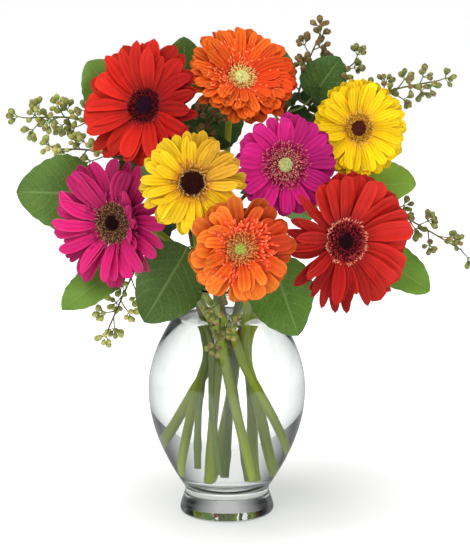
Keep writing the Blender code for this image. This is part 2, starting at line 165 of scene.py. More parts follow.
def batch_faces(copies, rows, around, offset):
    """Quads along each tube and one cap at each end, counted outwards."""
    first = np.arange(copies)[:, None, None] * rows * around + offset
    row = np.arange(rows - 1)[None, :, None] * around
    here = np.arange(around)[None, None, :]
    after = (here + 1) % around
    quads = np.stack([
        first + row + here, first + row + after,
        first + row + around + after, first + row + around + here,
    ], axis=-1).reshape(-1, 4)
    circle = np.arange(around)[None, :]
    bottoms = first[:, 0] + circle[:, ::-1]
    tops = first[:, 0] + (rows - 1) * around + circle
    return [quads, bottoms, tops]


def piece_from_batches(name, batches):
    """One mesh object from batches of tubes, with their UV map and their tint."""
    points, uvs, tints, faces, offset = [], [], [], [], 0
    for place, uv, tint in batches:
        copies, rows, around = place.shape[:3]
        faces += batch_faces(copies, rows, around, offset)
        offset += copies * rows * around
        points.append(place.reshape(-1, 3))
        uvs.append(uv.reshape(-1, 2))
        tints.append(tint.reshape(-1, 3))
    return build_mesh(name, np.concatenate(points), faces, np.concatenate(uvs), np.concatenate(tints))


def build_mesh(name, points, faces, uv, tint):
    """Puts arrays of points and faces into a mesh, with a UV map 'shape' and a colour 'tint'."""
    corners = np.concatenate([group.ravel() for group in faces])
    totals = np.concatenate([np.full(len(group), group.shape[1]) for group in faces])
    mesh = bpy.data.meshes.new(name)
    mesh.vertices.add(len(points))
    mesh.vertices.foreach_set("co", points.astype(np.float32).ravel())
    mesh.loops.add(len(corners))
    mesh.loops.foreach_set("vertex_index", corners.astype(np.int32))
    mesh.polygons.add(len(totals))
    starts = np.concatenate([[0], np.cumsum(totals)[:-1]])
    mesh.polygons.foreach_set("loop_start", starts.astype(np.int32))
    mesh.update(calc_edges=True)
    mesh.uv_layers.new(name="shape").data.foreach_set("uv", uv[corners].astype(np.float32).ravel())
    colours = np.ones((len(points), 4), np.float32)
    colours[:, :3] = tint
    mesh.color_attributes.new("tint", "FLOAT_COLOR", "POINT").data.foreach_set("color", colours.ravel())
    mesh.shade_smooth()
    piece = bpy.data.objects.new(name, mesh)
    bpy.context.scene.collection.objects.link(piece)
    return piece


def finish_piece(piece, material, slot, *nodes):
    """Paints a piece, seats it on the frame and hides the CAD nodes it stands for."""
    piece.data.materials.append(material)
    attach(piece, "root")
    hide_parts(*nodes)
    return piece


# %% [markdown]
# ## Colours
#
# Blender's shaders work in linear light, where a colour given as a screen colour looks washed out. The
# screen's own curve is undone first: the value plus 0.055, over 1.055, to the power 2.4.

# %% Screen colours to linear light
def by_eye(red, green, blue):
    """Screen colour, 0 to 255, to linear light."""
    value = np.array([red, green, blue]) / 255
    return np.where(value <= 0.04045, value / 12.92, ((value + 0.055) / 1.055) ** 2.4)


def blended(low, high, share):
    """From one colour to another, for an array of shares."""
    share = np.asarray(share)[..., None]
    return low * (1 - share) + high * share


STEM_GREEN, STEM_PALE = by_eye(146, 162, 40), by_eye(182, 200, 56)
BRACT_GREEN, BRACT_TIP = by_eye(92, 122, 46), by_eye(120, 92, 58)
BARK, BARK_GREEN = by_eye(92, 74, 48), by_eye(118, 140, 60)
print("stem green in linear light:", np.round(STEM_GREEN, 3).tolist())

# %% [markdown]
# ## Shader patterns shared by several finishes
#
# Petals and leaves both show fine lines along their length, and petals, leaves, stems and seeds all
# vary softly from place to place. Each effect is a node group with named inputs, built once. A group
# hands back only a mask or a colour, and the Principled shader stays in the material.

# %% Node helpers
def new_group(name, inputs, outputs):
    """An empty shader group with its sockets, and the two nodes that stand for them inside it."""
    group = bpy.data.node_groups.new(name, "ShaderNodeTree")
    for socket, kind, value in inputs:
        made = group.interface.new_socket(socket, in_out="INPUT", socket_type=kind)
        if value is not None:
            made.default_value = value
    for socket, kind in outputs:
        group.interface.new_socket(socket, in_out="OUTPUT", socket_type=kind)
    start, end = group.nodes.new("NodeGroupInput"), group.nodes.new("NodeGroupOutput")
    return group, start, end


def add_node(tree, kind, links=None, **settings):
    """Adds a node, sets its properties, and links or sets its inputs by name or number."""
    node = tree.nodes.new(kind)
    for key, value in settings.items():
        setattr(node, key, value)
    for key, value in (links or {}).items():
        if isinstance(value, bpy.types.NodeSocket):
            tree.links.new(value, node.inputs[key])
        else:
            node.inputs[key].default_value = value
    return node


def sums(tree, operation, first, second, clamp=False):
    """A maths node on two sockets or numbers."""
    return add_node(tree, "ShaderNodeMath", {0: first, 1: second}, operation=operation,
                    use_clamp=clamp).outputs[0]


def ramp(tree, value, start, end, low, high):
    """Low up to the start, high from the end on, and a straight line between."""
    return add_node(tree, "ShaderNodeMapRange", {0: value, 1: start, 2: end, 3: low, 4: high}).outputs[0]


def mixed(tree, share, low, high, blend_type="MIX"):
    """A colour mix of two sockets or colours."""
    node = add_node(tree, "ShaderNodeMix", data_type="RGBA", blend_type=blend_type)
    for index, value in ((0, share), (6, low), (7, high)):
        if isinstance(value, bpy.types.NodeSocket):
            tree.links.new(value, node.inputs[index])
        elif index == 0:
            node.inputs[index].default_value = value
        else:
            node.inputs[index].default_value = (*value, 1.0)
    return node.outputs[2]


# %% Streaks that run along a piece
def make_streaks():
    """Noise stretched along the UV map's first direction: thin lines across it, long ones along it."""
    group, start, end = new_group(
        "streaks",
        [("UV", "NodeSocketVector", None), ("Lines", "NodeSocketFloat", 16.0),
         ("Length", "NodeSocketFloat", 1.6), ("Contrast", "NodeSocketFloat", 1.0)],
        [("Mask", "NodeSocketFloat")],
    )
    scale = add_node(group, "ShaderNodeCombineXYZ", {0: start.outputs["Length"], 1: start.outputs["Lines"]})
    stretched = add_node(group, "ShaderNodeVectorMath", {0: start.outputs["UV"], 1: scale.outputs[0]},
                         operation="MULTIPLY")
    noise = add_node(group, "ShaderNodeTexNoise", {"Vector": stretched.outputs[0], "Scale": 1.0,
                                                   "Detail": 3.0, "Roughness": 0.6})
    centred = sums(group, "SUBTRACT", noise.outputs[0], 0.5)
    strong = sums(group, "MULTIPLY", centred, start.outputs["Contrast"])
    group.links.new(sums(group, "ADD", strong, 0.5, clamp=True), end.inputs["Mask"])
    return group


def make_mottle():
    """Soft patches through space, from two sizes of noise."""
    group, start, end = new_group(
        "mottle",
        [("Place", "NodeSocketVector", None), ("Size", "NodeSocketFloat", 60.0),
         ("Fine Size", "NodeSocketFloat", 600.0)],
        [("Mask", "NodeSocketFloat"), ("Fine", "NodeSocketFloat")],
    )
    for output, size, detail in (("Mask", "Size", 2.0), ("Fine", "Fine Size", 3.0)):
        noise = add_node(group, "ShaderNodeTexNoise", {
            "Vector": start.outputs["Place"], "Scale": start.outputs[size], "Detail": detail})
        group.links.new(noise.outputs[0], end.inputs[output])
    return group


def place_group(tree, group, links):
    """Puts a group into a material's tree."""
    return add_node(tree, "ShaderNodeGroup", links, node_tree=group).outputs


STREAKS, MOTTLE = make_streaks(), make_mottle()
print("shader groups:", STREAKS.name, MOTTLE.name)

# %% A material to start from
def new_material(name, **constants):
    """A Principled material with the given constant sockets, and its tree, shader and coordinates."""
    material = bpy.data.materials.new(name)
    material.use_nodes = True
    tree = material.node_tree
    shader = tree.nodes["Principled BSDF"]
    for socket, value in constants.items():
        shader.inputs[socket.replace("_", " ")].default_value = value
    uv = add_node(tree, "ShaderNodeUVMap", uv_map="shape").outputs[0]
    tint = add_node(tree, "ShaderNodeVertexColor", layer_name="tint").outputs[0]
    place = add_node(tree, "ShaderNodeTexCoord").outputs["Object"]
    return material, tree, shader, uv, tint, place


def add_bump(tree, shader, height, distance, strength=1.0):
    """Lets a height pattern tilt the surface."""
    bump = add_node(tree, "ShaderNodeBump", {"Height": height, "Distance": distance, "Strength": strength})
    tree.links.new(bump.outputs[0], shader.inputs["Normal"])


# %% [markdown]
# ## Petal skin
#
# A gerbera petal is velvety: matte, a little bright at glancing angles, and marked by parallel veins
# that catch the light. The tint painted on the mesh carries each flower's own colours with painted shade
# in the creases and on a head's shadowed side, and the streaks paint shade between the veins and raise them
# slightly.

# %% The petal finish
VEIN_LINES = 18.0


def make_petal_skin(name, shade):
    """Velvet colour with streaks; shade is the colour of the painted shade that the petal is pulled to
    between its veins.
    """
    material, tree, shader, uv, tint, place = new_material(
        name, Roughness=0.58, Specular_IOR_Level=0.22, Sheen_Weight=0.04, Sheen_Roughness=0.4)
    wide = place_group(tree, STREAKS, {"UV": uv, "Lines": VEIN_LINES, "Length": 0.7, "Contrast": 3.2})["Mask"]
    fine = place_group(tree, STREAKS, {
        "UV": uv, "Lines": VEIN_LINES * 3, "Length": 1.6, "Contrast": 2.6})["Mask"]
    both = sums(tree, "MULTIPLY", wide, fine)
    # Painted shade: between the veins the tint is pulled towards the shade colour.
    groove_shade = sums(tree, "MULTIPLY", sums(tree, "SUBTRACT", 1.0, both, clamp=True), 0.62)
    shaded = mixed(tree, groove_shade, (1, 1, 1), shade)
    tree.links.new(mixed(tree, 1.0, tint, shaded, "MULTIPLY"), shader.inputs["Base Color"])
    add_bump(tree, shader, both, 0.0005, 0.6)
    return material


PETAL_SKINS = {
    "red": make_petal_skin("red_petal", (0.60, 0.25, 0.25)),
    "orange": make_petal_skin("orange_petal", (0.80, 0.48, 0.30)),
    "yellow": make_petal_skin("yellow_petal", (0.85, 0.66, 0.35)),
    "magenta": make_petal_skin("magenta_petal", (0.68, 0.30, 0.55)),
}
print("petal finishes:", sorted(PETAL_SKINS))

# %% [markdown]
# ## Where each flower head sits
#
# The calyx and the eye of a CAD flower are both turned about the head's own axis, so the line from the
# middle of one to the middle of the other is that axis. Distances of the petal node's corners from the
# axis then give the petals' inner and outer reach. Across the head, one direction is level and the
# other points up, so that an angle round a head means the same on all eight.

# %% Measure the heads
HEAD_NAMES = [name[:-len("_petals")] for name in frame["nodes"] if name.endswith("_petals")]


def measure_head(name):
    """Centre of the eye, the axes right, up and out, and the petals' inner reach, outer reach and cup."""
    calyx, eye = node_points(name + "_calyx").mean(axis=0), node_points(name + "_disc").mean(axis=0)
    out = unit(eye - calyx)
    right = unit(np.cross(UP, out))
    petals = node_points(name + "_petals") - eye
    height = petals @ out
    reach = np.linalg.norm(petals - height[:, None] * out, axis=1)
    rim = reach < reach.min() + 0.5 * MM
    edge = reach > reach.max() - 2 * MM
    level = height[rim].mean()
    return {
        "centre": eye + out * level, "right": right, "up": np.cross(out, right), "out": out,
        "eye": reach.min(), "reach": reach.max(), "cup": height[edge].mean() - level,
    }


heads = {name: measure_head(name) for name in HEAD_NAMES}
for name, head in heads.items():
    print(name, "eye", np.round(head["centre"], 3), "reach", round(head["reach"], 3))

# %% [markdown]
# ## A petal
#
# A petal is a tube pressed flat. Its middle line starts under the eye, climbs at one angle and bends to
# another, and its breadth grows from a narrow claw to a broad strap and closes in a round or pointed
# tip. Two long creases divide the strap in three. Every petal gets its own length, breadth, tilt, twist
# and sideways bend, because a head of identical petals looks like a stamp.

# %% Rings of petals, as whole arrays
def petal_breadth(along, claw, point):
    """Claw to strap as a quarter sine, then a tip that closes as a rounded power curve."""
    strap = claw + (1 - claw) * np.sin(np.pi / 2 * np.clip(along / 0.6, 0, 1))
    closing = np.clip((along - point) / (1 - point), 0, 1)
    return strap * np.sqrt(np.clip(1 - closing**2.2, 0.0004, 1))


UPPER = np.array([1, 0.9, 0.7, 0.5, 0.38, 0.26, 0.1, -0.1, -0.26, -0.38, -0.5, -0.7, -0.9, -1])
UNDER = np.array([-0.7, -0.25, 0.25, 0.7])
ACROSS = np.concatenate([UPPER, UNDER])
BULGE = np.sqrt(1 - ACROSS**2) * np.concatenate([np.ones(len(UPPER)), -np.ones(len(UNDER))])
CREASE = np.exp(-(((np.abs(ACROSS) - 0.38) / 0.10) ** 2))
CREASE_DROP, PETAL_THICKNESS = 0.13, 0.56 * MM


def petal_ring(head, rng, count, reach, breadth, rise, fall, lift, claw=0.42, point=0.74, wild=1.0,
               channel=0.16, turn=0.0, start=None, rows=15, sector=(0, 360), roll=7.0):
    """A ring of petals. Middle line: the slope runs from rise to fall, so distance and height are the
    running sums of its cosine and sine. Section: an ellipse pressed flat, bent by a channel and by two
    creases at two fifths of the half breadth. Lengths are in metres and angles in degrees."""
    start = head["eye"] - 1.2 * MM if start is None else start
    spacing = np.radians(sector[1] - sector[0]) / count
    place = np.arange(count) + 0.5 + turn + rng.normal(0, 0.16 * wild, count)
    angle = np.radians(sector[0]) + spacing * place
    length = (reach - start) * (1 + rng.normal(0, 0.045 * wild, count))
    length = np.minimum(length, (reach - start) * 1.05)[:, None]
    half_breadth = breadth / 2 * (1 + rng.normal(0, 0.08 * wild, count))[:, None]
    rise = np.radians(rise + rng.normal(0, 4 * wild, count))[:, None]
    fall = np.radians(fall + rng.normal(0, 8 * wild, count))[:, None]
    twist = np.radians(rng.normal(0, 10 * wild, count))[:, None]
    lean = np.radians(roll + rng.normal(0, 4 * wild, count))[:, None]
    bend = np.radians(rng.normal(0, 4.0 * wild, count))[:, None]
    lift = lift + rng.normal(0, 0.35 * MM * wild, count)[:, None]
    along = np.linspace(0, 1, rows)[None, :] ** 0.9
    slope = rise + (fall - rise) * along**1.4
    step = np.diff(along, axis=1, prepend=0.0) * length
    distance = start + np.cumsum(np.cos(slope) * step, axis=1)
    height = lift + np.cumsum(np.sin(slope) * step, axis=1)
    facing = angle[:, None] + bend * along**2
    ray = np.cos(facing)[..., None] * head["right"] + np.sin(facing)[..., None] * head["up"]
    tangent = np.cos(facing)[..., None] * head["up"] - np.sin(facing)[..., None] * head["right"]
    above = np.cos(slope)[..., None] * head["out"] - np.sin(slope)[..., None] * ray
    turned = lean + twist * along
    side = tangent * np.cos(turned)[..., None] + above * np.sin(turned)[..., None]
    face = above * np.cos(turned)[..., None] - tangent * np.sin(turned)[..., None]
    width = half_breadth * petal_breadth(along, claw, point)
    thick = PETAL_THICKNESS / 2 * np.sqrt(np.clip(1 - along**6, 0.05, 1))
    middle = head["centre"] + ray * distance[..., None] + head["out"] * height[..., None]
    sag = width[..., None] * (channel * ACROSS**2 - CREASE_DROP * CREASE) + thick[..., None] * BULGE
    points = (
        middle[:, :, None, :]
        + side[:, :, None, :] * (width[..., None] * ACROSS)[..., None]
        + face[:, :, None, :] * sag[..., None]
    )
    return points, along, angle


def petal_tints(along, angle, rng, base, middle, tip, edge=None, shaded_side=None, depth=0.3):
    """Base to middle to tip along each petal, with painted shade in the creases and a painted highlight at
    the margins, and each petal a little lighter or darker than the next. The colour after the margin's is
    painted shade, given with the direction in degrees of the head's side that lies in shadow, pulled to it."""
    share = np.broadcast_to(along, (len(angle), along.shape[1]))
    colour = blended(base, middle, np.clip(share / 0.40, 0, 1))
    late = np.clip((share - 0.6) / 0.4, 0, 1)[..., None]
    colour = colour * (1 - late) + tip * late
    # Painted shade: petals on the side of the head that lies in shadow are pulled towards a darker colour.
    if shaded_side is not None:
        side_shade = np.cos(angle - math.radians(shaded_side[1])) * 1.5 - 0.45 + rng.normal(0, 0.22, len(angle))
        side_shade = 0.85 * np.clip(side_shade, 0, 1)[:, None, None]
        colour = colour * (1 - side_shade) + shaded_side[0] * side_shade
    # Painted shade darkens the creases and a painted highlight lightens the margins, as much as depth says.
    crease_shade_and_margin_highlight = 1 - depth * CREASE + 0.5 * depth * (np.abs(ACROSS) > 0.85)
    colour = colour[:, :, None, :] * crease_shade_and_margin_highlight[:, None]
    if edge is not None:
        pale = (0.75 * (np.abs(ACROSS) > 0.95)) * np.clip(rng.normal(0.35, 0.5, len(angle)), 0, 1)[:, None]
        colour = colour + (edge - colour) * pale[:, None, :, None]
    return colour * (1 + rng.normal(0, 0.08, len(angle)))[:, None, None, None]


# %% [markdown]
# ## Eight heads, eight habits
#
# Each head is a list of rings from back to front, and a ring may fill only a sector of the head. The red
# ones have broad smooth petals, narrower and more pointed on one side. The orange ones are double, with
# short inner petals crowding towards the eye. The yellow ones are dense and narrow, the magenta ones
# looser with pointed tips. Reach is a share of the measured petal length, so the heads keep the CAD's
# size.

# %% The heads' habits
# Each ring: petals, reach share, breadth (mm), rise, fall (degrees), lift (mm), the share of the length
# where the tip begins, wildness, and the sector it fills (degrees from the right, through up).
ALL = (0, 360)
HEAD_RINGS = {
    "red_left": [
        (17, 1.00, 16.5, 16, 2, -1.6, 0.62, 1.2, ALL), (4, 0.97, 21.0, 22, 4, 0.2, 0.72, 1.0, (138, 218)),
        (6, 1.00, 12.5, 26, 8, 0.2, 0.56, 1.2, (60, 138)), (6, 0.97, 16.0, 24, 2, 0.2, 0.62, 1.4, (218, 312)),
        (6, 0.90, 14.0, 32, 10, 0.4, 0.56, 1.5, (-48, 60))],
    "red_right": [
        (14, 1.00, 17.0, 13, 2, -1.6, 0.82, 0.7, (-64, 120)),
        (13, 0.98, 17.0, 20, 4, 0.0, 0.82, 0.8, (-60, 124)),
        (13, 1.00, 10.5, 16, 0, -1.4, 0.50, 1.2, (120, 296)),
        (11, 0.92, 9.5, 26, 2, 0.2, 0.48, 1.5, (124, 292))],
    "orange_top": [
        (28, 1.00, 11.5, 12, 6, -1.6, 0.82, 0.8, ALL), (26, 0.95, 10.5, 20, 10, 0.0, 0.82, 1.0, ALL),
        (24, 0.84, 8.5, 28, 16, 1.0, 0.80, 1.3, ALL), (16, 0.66, 6.5, 34, 18, 1.4, 0.80, 1.4, (-160, -20))],
    "orange_front": [
        (17, 1.00, 14.5, 16, 2, -1.6, 0.80, 1.2, ALL), (15, 0.92, 13.0, 26, 6, 0.2, 0.78, 1.6, ALL),
        (9, 0.72, 11.0, 38, 16, 1.2, 0.80, 1.8, (110, 300))],
    "yellow_left": [
        (22, 1.00, 10.0, 12, 4, -1.6, 0.74, 1.3, ALL), (22, 0.97, 9.0, 20, 6, 0.0, 0.72, 1.5, ALL),
        (18, 0.86, 7.5, 28, 12, 1.0, 0.70, 1.7, ALL)],
    "yellow_right": [
        (32, 1.00, 9.0, 10, 4, -1.6, 0.84, 0.8, ALL), (32, 0.97, 8.5, 17, 6, 0.0, 0.84, 0.9, ALL),
        (28, 0.86, 7.0, 24, 10, 1.0, 0.82, 1.1, ALL)],
    "magenta_left": [
        (22, 1.00, 12.5, 18, 0, -1.6, 0.74, 1.3, ALL), (17, 0.94, 12.0, 28, 4, 0.2, 0.70, 1.6, (50, 315)),
        (7, 0.60, 11.0, 30, 52, 0.6, 0.66, 1.6, (-48, 40))],
    "magenta_right": [
        (22, 1.00, 11.5, 10, 4, -1.6, 0.78, 0.9, ALL), (22, 0.96, 10.5, 17, 8, 0.0, 0.74, 1.2, ALL)],
}
# Colours of a petal's base, middle and tip, of its margin, and of the painted shade on the side of the
# head that lies in shadow, with that side's direction.
PETAL_COLOURS = {
    "red_left": (by_eye(160, 14, 8), by_eye(212, 34, 16), by_eye(226, 52, 34), None,
                 (by_eye(170, 14, 14), 10)),
    "red_right": (by_eye(148, 12, 12), by_eye(208, 34, 22), by_eye(222, 50, 38), None,
                  (by_eye(180, 24, 22), 235)),
    "orange_top": (by_eye(222, 58, 12), by_eye(238, 96, 20), by_eye(244, 124, 38), None,
                   (by_eye(226, 66, 18), -20)),
    "orange_front": (by_eye(214, 58, 12), by_eye(236, 104, 22), by_eye(246, 146, 52), by_eye(250, 172, 96),
                     (by_eye(206, 52, 14), 18)),
    "yellow_left": (by_eye(216, 146, 14), by_eye(248, 208, 20), by_eye(252, 222, 44), None,
                    (by_eye(220, 166, 54), 35)),
    "yellow_right": (by_eye(236, 178, 6), by_eye(252, 214, 6), by_eye(253, 224, 20), None, None),
    "magenta_left": (by_eye(176, 14, 88), by_eye(222, 30, 118), by_eye(228, 46, 130), by_eye(236, 150, 186),
                     (by_eye(178, 20, 90), 70)),
    "magenta_right": (by_eye(176, 12, 100), by_eye(222, 30, 134), by_eye(230, 50, 150), None,
                      (by_eye(178, 24, 114), 0)),
}
# Painted shade: how much the creases darken, and how much darker the rearmost ring is, as it sits in shade.
CREASE_SHADE = {"red": 0.34, "orange": 0.42, "yellow": 0.16, "magenta": 0.28}
REAR_RING, REAR_SHADE = -1.0, 0.74

# %% Make the petals
def make_petals(name):
    """All the rings of one head, joined into one piece."""
    head, rng, kind = heads[name], own_chance(name), name.split("_")[0]
    colours, batches = PETAL_COLOURS[name], []
    for ring, (count, reach, breadth, rise, fall, lift, point, wild, sector) in enumerate(HEAD_RINGS[name]):
        points, along, angle = petal_ring(
            head, rng, count, head["eye"] + (head["reach"] - head["eye"]) * reach, breadth * MM,
            rise, fall, lift * MM, point=point, wild=wild, turn=0.5 * ring, sector=sector)
        tints = petal_tints(along, angle, rng, *colours, depth=CREASE_SHADE[kind])
        # Painted shade: the rearmost ring, which sits in shade, is painted darker.
        tints = tints * (REAR_SHADE if lift < REAR_RING else 1.0)
        batches.append(tube_batch(points, tints, number=100 * ring))
    piece = piece_from_batches(name + "_ray_petals", batches)
    return finish_piece(piece, PETAL_SKINS[kind], "petal_" + kind, name + "_petals")


for name in HEAD_NAMES:
    piece = make_petals(name)
    print(piece.name, len(piece.data.polygons), "faces")

# %% [markdown]
# ## The eye
#
# The middle of a gerbera is hundreds of tiny tubular florets. Seen close, the outer ones stand up as
# fine strands with pale, forked tips, and the inner ones are still shut, packed as tight round buds on
# a low dome. Buds follow the sunflower rule: each is 137.5 degrees on from the last, at a distance that
# grows as the square root of its number. Strands are thin tubes that lean outwards and curl.

# %% Parts of an eye
GOLDEN = math.radians(137.50776)
CURL, TIP_FROM = math.radians(35), 0.6


def strand_ring(head, rng, count, near, far, length, thick, lean, low, high, lift):
    """Thin tubes on a belt from near to far from the axis. Each sets off leaning outwards by its own
    angle and bends further as it goes. Past the eye they sit on the petals, which climb by one in two.
    Colours run from low at the foot to high at the tip."""
    number = np.arange(count)
    angle = number * GOLDEN + rng.normal(0, 0.05, count)
    distance = np.sqrt(near**2 + (far**2 - near**2) * rng.random(count))
    along = np.array([0.0, 0.35, 0.65, 0.88, 1.0])[None, :]
    slope = np.radians(90 - lean * (0.4 + 0.6 * (distance - near) / max(far - near, 1e-6)))
    slope = slope + rng.normal(0, 0.22, count)
    slope = slope[:, None] - CURL * along**1.5
    size = length * (1 + rng.normal(0, 0.18, count))[:, None]
    step = np.diff(along, axis=1, prepend=0.0) * size
    reach = distance[:, None] + np.cumsum(np.cos(slope) * step, axis=1)
    seat = lift + np.clip(distance - head["eye"], 0, None)[:, None] * 0.5
    height = seat + np.cumsum(np.sin(slope) * step, axis=1)
    veer = angle[:, None] + rng.normal(0, 0.25, count)[:, None] * along * size / distance[:, None]
    ray = np.cos(veer)[..., None] * head["right"] + np.sin(veer)[..., None] * head["up"]
    tangent = np.cos(veer)[..., None] * head["up"] - np.sin(veer)[..., None] * head["right"]
    above = np.cos(slope)[..., None] * head["out"] - np.sin(slope)[..., None] * ray
    middle = head["centre"] + ray * reach[..., None] + head["out"] * height[..., None]
    round_it = full_turn(5)
    radius = thick / 2 * (1 + 0.5 * np.sin(np.pi * along**2)) * np.sqrt(np.clip(1.02 - along**5, 0, 1))
    radius = np.broadcast_to(radius, slope.shape)[..., None]
    points = (
        middle[:, :, None, :]
        + tangent[:, :, None, :] * (radius * np.cos(round_it))[..., None]
        + above[:, :, None, :] * (radius * np.sin(round_it))[..., None]
    )
    share = np.clip((along - TIP_FROM) / (1 - TIP_FROM), 0, 1)
    tint = blended(low, high, np.broadcast_to(share, slope.shape))
    tint = tint * (1 + rng.normal(0, 0.12, count))[:, None, None]
    return tube_batch(points, tint[:, :, None, :])


def bud_dome(head, rng, count, far, bud, rise, low, high):
    """Round buds by the sunflower rule on a dome; each is a short tube whose radius is half a circle."""
    number = np.arange(count) + 0.5
    distance = far * np.sqrt(number / count)
    angle = number * GOLDEN
    foot = rise * np.sqrt(np.clip(1 - 0.8 * (distance / far) ** 2, 0, 1))
    turn = np.linspace(0.06, np.pi - 0.06, 6)
    round_it = full_turn(7)
    ray = np.cos(angle)[:, None] * head["right"] + np.sin(angle)[:, None] * head["up"]
    side = np.cos(angle)[:, None] * head["up"] - np.sin(angle)[:, None] * head["right"]
    tall = foot[:, None] - bud * 1.1 * np.cos(turn)[None, :]
    wide = np.broadcast_to(bud / 2 * np.sin(turn)[None, :], tall.shape)
    middle = head["centre"] + ray * distance[:, None]
    points = (
        middle[:, None, None, :] + head["out"] * tall[:, :, None, None]
        + ray[:, None, None, :] * (wide[..., None] * np.cos(round_it))[..., None]
        + side[:, None, None, :] * (wide[..., None] * np.sin(round_it))[..., None]
    )
    share = np.broadcast_to(np.linspace(0, 1, 6)[None, :], tall.shape)
    tint = blended(low, high, share) * (1 + rng.normal(0, 0.16, count))[:, None, None]
    return tube_batch(points, tint[:, :, None, :])


def eye_floor(head, far, rise, colour):
    """The receptacle: a turned cushion, as one short tube along the head's axis."""
    turn = np.linspace(0, np.pi / 2, 8)
    radius = np.concatenate([[far * 0.9], far * np.cos(turn)])
    radius[-1] = far * 0.01
    height = np.concatenate([[-2.2 * MM], rise * np.sin(turn) - 1.2 * MM])
    round_it = full_turn(32)
    circle = np.cos(round_it)[:, None] * head["right"] + np.sin(round_it)[:, None] * head["up"]
    points = head["centre"] + radius[:, None, None] * circle + height[:, None, None] * head["out"]
    return tube_batch(points[None], colour)


# %% The finish of the eyes
def make_eye_finish():
    """Matte floret tissue, its tint broken by fine noise and lifted by it."""
    material, tree, shader, uv, tint, place = new_material(
        "floret_tissue", Roughness=0.75, Specular_IOR_Level=0.2)
    fine = place_group(tree, MOTTLE, {"Place": place, "Size": 300.0, "Fine Size": 2500.0})
    shade = mixed(tree, fine["Fine"], (0.6, 0.6, 0.6), (1.35, 1.35, 1.35))
    tree.links.new(mixed(tree, 1.0, tint, shade, "MULTIPLY"), shader.inputs["Base Color"])
    add_bump(tree, shader, fine["Fine"], 0.0002, 0.5)
    return material


EYE_FINISH = make_eye_finish()

# %% The eyes' habits
DARK = by_eye(30, 8, 14)
# Each eye: floor colour; buds (count, far share, size mm, rise mm, foot colour, top colour); belts of
# strands (count, near share, far share, length mm, thickness mm, lean degrees, foot colour, tip colour).
EYES = {
    "red_left": (by_eye(70, 10, 16), (120, 0.50, 1.5, 2.0, DARK, by_eye(50, 16, 40)), [
        (210, 0.46, 0.86, 2.6, 0.8, 25, by_eye(70, 8, 14), by_eye(134, 26, 34)),
        (150, 0.82, 0.99, 2.8, 0.7, 50, by_eye(110, 12, 16), by_eye(196, 74, 78))]),
    "red_right": (by_eye(84, 10, 18), (90, 0.38, 1.4, 1.6, DARK, by_eye(46, 12, 22)), [
        (200, 0.34, 0.74, 2.6, 0.7, 22, by_eye(74, 8, 18), by_eye(170, 44, 56)),
        (210, 0.66, 0.92, 3.0, 0.7, 48, by_eye(140, 20, 28), by_eye(206, 84, 76)),
        (200, 0.94, 1.03, 2.8, 0.7, 50, by_eye(206, 70, 54), by_eye(252, 204, 170))]),
    "magenta_left": (by_eye(92, 58, 40), (80, 0.36, 1.3, 1.2, by_eye(22, 8, 8), by_eye(40, 14, 16)), [
        (210, 0.36, 0.70, 2.4, 0.6, 20, by_eye(74, 44, 30), by_eye(176, 132, 88)),
        (240, 0.62, 0.98, 2.8, 0.6, 45, by_eye(112, 70, 50), by_eye(198, 156, 118)),
        (110, 0.96, 1.34, 5.5, 1.3, 62, by_eye(150, 16, 76), by_eye(206, 60, 124))]),
    "magenta_right": (by_eye(150, 40, 62), (
        90, 0.34, 1.4, 2.2, by_eye(176, 182, 104), by_eye(214, 214, 150)), [
        (200, 0.32, 0.66, 2.8, 0.6, 22, by_eye(176, 70, 84), by_eye(240, 180, 150)),
        (260, 0.60, 1.04, 3.4, 0.7, 52, by_eye(176, 30, 84), by_eye(240, 140, 146))]),
    "yellow_left": (by_eye(190, 128, 44), (150, 0.66, 1.5, 2.2, by_eye(26, 6, 6), by_eye(58, 18, 20)), [
        (60, 0.64, 0.70, 2.8, 0.6, 20, by_eye(90, 40, 20), by_eye(252, 232, 170)),
        (260, 0.70, 1.22, 4.4, 0.8, 66, by_eye(196, 128, 34), by_eye(236, 190, 98))]),
    "yellow_right": (by_eye(206, 150, 20), (90, 0.46, 1.4, 1.8, by_eye(54, 14, 12), by_eye(100, 44, 34)), [
        (150, 0.46, 0.76, 2.6, 0.6, 25, by_eye(176, 112, 20), by_eye(246, 206, 100)),
        (210, 0.74, 1.10, 3.4, 0.7, 58, by_eye(212, 156, 16), by_eye(252, 224, 120))]),
    "orange_top": (by_eye(214, 140, 60), (110, 0.46, 1.5, 2.2, by_eye(186, 188, 92), by_eye(224, 220, 146)), [
        (190, 0.34, 0.80, 3.0, 0.6, 28, by_eye(220, 170, 80), by_eye(252, 228, 160)),
        (190, 0.74, 1.14, 4.2, 0.9, 52, by_eye(228, 84, 28), by_eye(253, 186, 120)),
        (340, 1.06, 2.05, 5.4, 1.3, 50, by_eye(228, 66, 20), by_eye(253, 164, 100))]),
    "orange_front": (by_eye(196, 110, 50), (80, 0.32, 1.4, 1.4, by_eye(130, 146, 50), by_eye(180, 188, 92)), [
        (180, 0.30, 0.62, 2.4, 0.6, 22, by_eye(190, 110, 44), by_eye(244, 196, 120)),
        (200, 0.56, 1.00, 3.4, 0.8, 44, by_eye(216, 90, 34), by_eye(250, 170, 104)),
        (230, 0.98, 1.66, 5.6, 1.7, 52, by_eye(226, 66, 26), by_eye(250, 134, 90))]),
}

# %% Make the eyes
EYE_RISE = 1.7 * MM


def frame_slot(node):
    """The material slot that the record gives a node."""
    return next(part["material_slot"] for part in frame["record"]["subparts"] if part["node"] == node)


